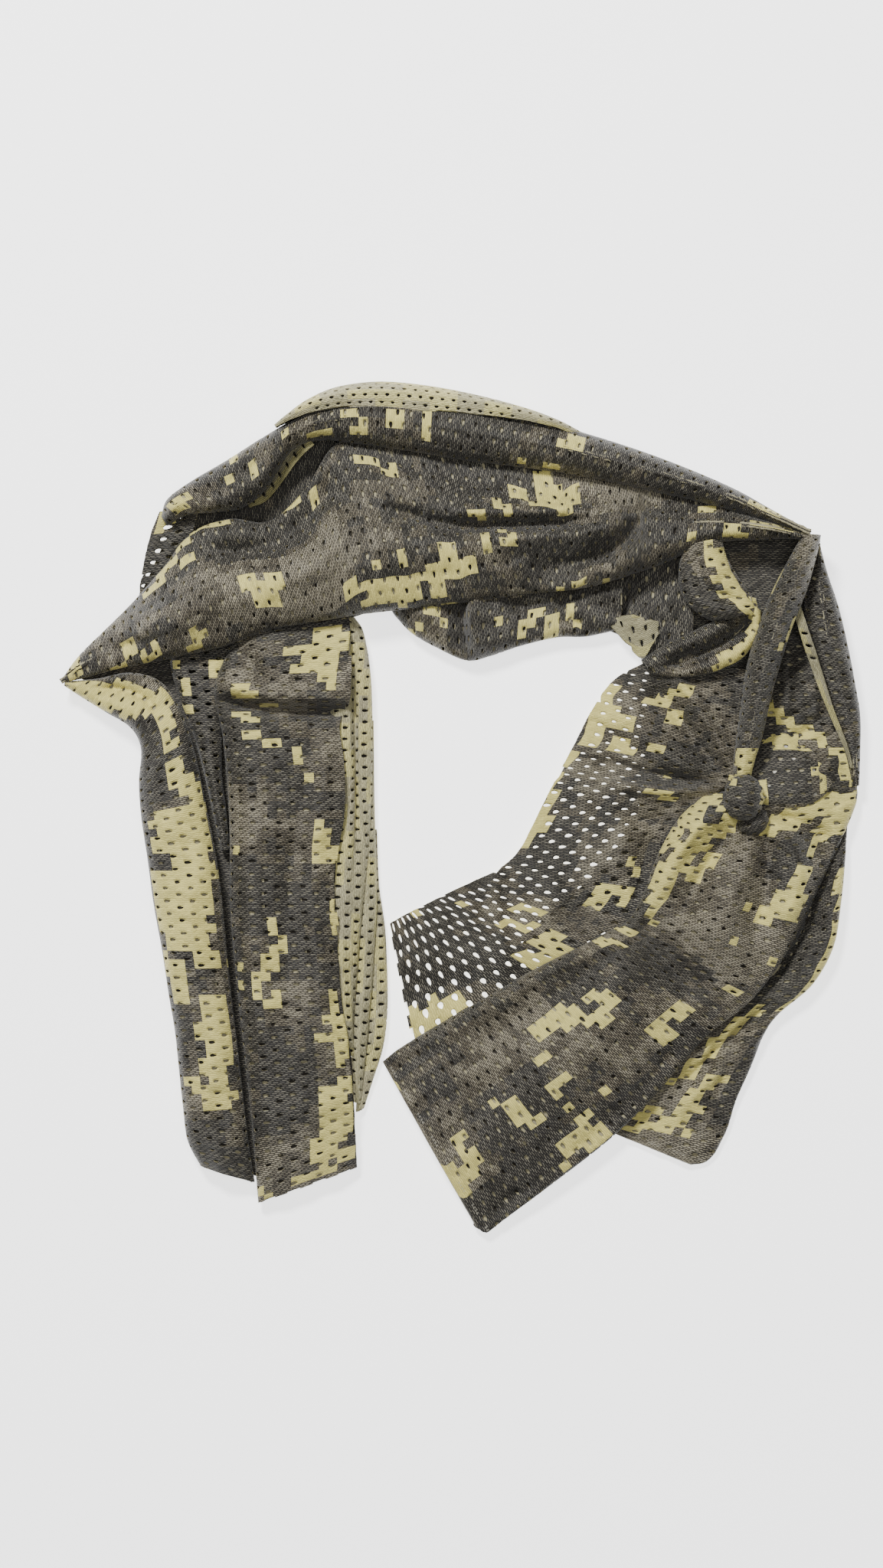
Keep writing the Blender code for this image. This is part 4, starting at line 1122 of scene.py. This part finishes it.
place("pleat_three", [
    (-44, -10, -39.5, -10, 0.6, 4), (-44, -36, -38.5, -36, 0.6, 5), (-45, -58, -35.5, -58, 0.6, 6),
    (-45, -80, -34.5, -80), (-46, -98, -34.5, -98), (-47, -114, -36.5, -114),
    (-49, -130, -41.5, -130, 0.6, 5), (-50, -145, -46, -144, 0.6, 4),
], seed=45, dome=0.4, blend=((-40, -78, 3), (-40, -102, 3)), **PLEAT)


# ---------------------------------------------------------------- the knot


def knot_grid(centre, radius, lean, wraps):
    """A ball of gathered cloth lying on its side, with wraps running round it and sinking to one side."""
    along = np.array((math.sin(lean), math.cos(lean), 0.0))
    across = np.array((math.cos(lean), -math.sin(lean), 0.0))
    up = np.array((0.0, 0.0, 1.0))
    grid = np.zeros((KNOT_ROWS, KNOT_COLS, 3))
    for i in range(KNOT_ROWS):
        lat = math.radians(-80 + 160 * i / (KNOT_ROWS - 1))
        for j in range(KNOT_COLS):
            lon = -math.pi / 2 + 2 * math.pi * j / (KNOT_COLS - 1) * 0.998
            groove = abs(math.sin(wraps / 2 * (lat * 2.0 + 0.35 * math.cos(lon) + 0.12 * math.sin(3 * lon))))
            r = 0.90 + 0.14 * groove * math.cos(lat) ** 0.5 + 0.04 * math.sin(2 * lon + 1.0)
            ring = across * radius[0] * math.cos(lon) + up * radius[2] * math.sin(lon)
            grid[i, j] = np.array(centre) + along * radius[1] * math.sin(lat) + ring * math.cos(lat) * r
    return grid


KNOT_PRINT = pale_at((142.5, 6, 4, 5), (129, 12, 2.5, 3)) + [(133, 2, 14, 12, -0.16)]
TUCK_PRINT = [(138, -6, 12, 12, -0.16)]
knot = knot_grid((133.4, 5.2, 25), (9.4, 11.0, 10), 0.12, 7)
dress("knot_cloth", knot, ["knot"], KNOT_PRINT, 47)
tuck = knot_grid((138.5, -5.8, 20), (7.2, 6.6, 7), -0.5, 5)
dress("knot_tuck", tuck, [], TUCK_PRINT, 49)


# ---------------------------------------------------------------- table, light and camera


TABLE_SIZE = 6.0
TABLE_LOW = -0.0002
TABLE_ALBEDO = 0.90
TABLE_GLOW = 1.9
WORLD_LIGHT = 0.07


def area_light(name, where, size, power):
    """A round soft light in metres and watts, turned towards the middle of the table."""
    light = bpy.data.lights.new(name, "AREA")
    light.shape = "DISK"
    light.size = size
    light.energy = power
    obj = bpy.data.objects.new(name, light)
    obj.location = where
    aim = -np.array(where) / np.linalg.norm(where)
    obj.rotation_euler = (math.acos(-aim[2]), 0.0, math.atan2(-aim[0], aim[1]))
    bpy.context.scene.collection.objects.link(obj)


floor_material = bpy.data.materials.new("pale_table")
floor_material.use_nodes = True
floor_shader = floor_material.node_tree.nodes["Principled BSDF"]
floor_shader.inputs["Base Color"].default_value = (TABLE_ALBEDO, TABLE_ALBEDO, TABLE_ALBEDO, 1)
floor_shader.inputs["Roughness"].default_value = 0.9
floor_shader.inputs["Emission Color"].default_value = (1, 1, 1, 1)
floor_shader.inputs["Emission Strength"].default_value = TABLE_GLOW
bpy.ops.mesh.primitive_plane_add(size=TABLE_SIZE, location=(0, 0, TABLE_LOW))
table = bpy.context.object
table.name = "table"
table.data.materials.append(floor_material)

world = bpy.data.worlds.new("studio")
world.use_nodes = True
world.node_tree.nodes["Background"].inputs[0].default_value = (1, 1, 1, 1)
world.node_tree.nodes["Background"].inputs[1].default_value = WORLD_LIGHT
bpy.context.scene.world = world
area_light("key", (-0.45, 1.0, 1.40), size=0.35, power=46)
area_light("overhead", (0.1, 0.0, 2.2), size=1.0, power=24)

LOOK_AT = (-0.0089, 0.0116, 0.012)
CAMERA_LENS = 85.0
CAMERA_HEIGHT = 1.758
camera_data = bpy.data.cameras.new("camera")
camera_data.lens = CAMERA_LENS
camera = bpy.data.objects.new("camera", camera_data)
camera.location = (LOOK_AT[0], LOOK_AT[1], LOOK_AT[2] + CAMERA_HEIGHT)
bpy.context.scene.collection.objects.link(camera)
bpy.context.scene.camera = camera
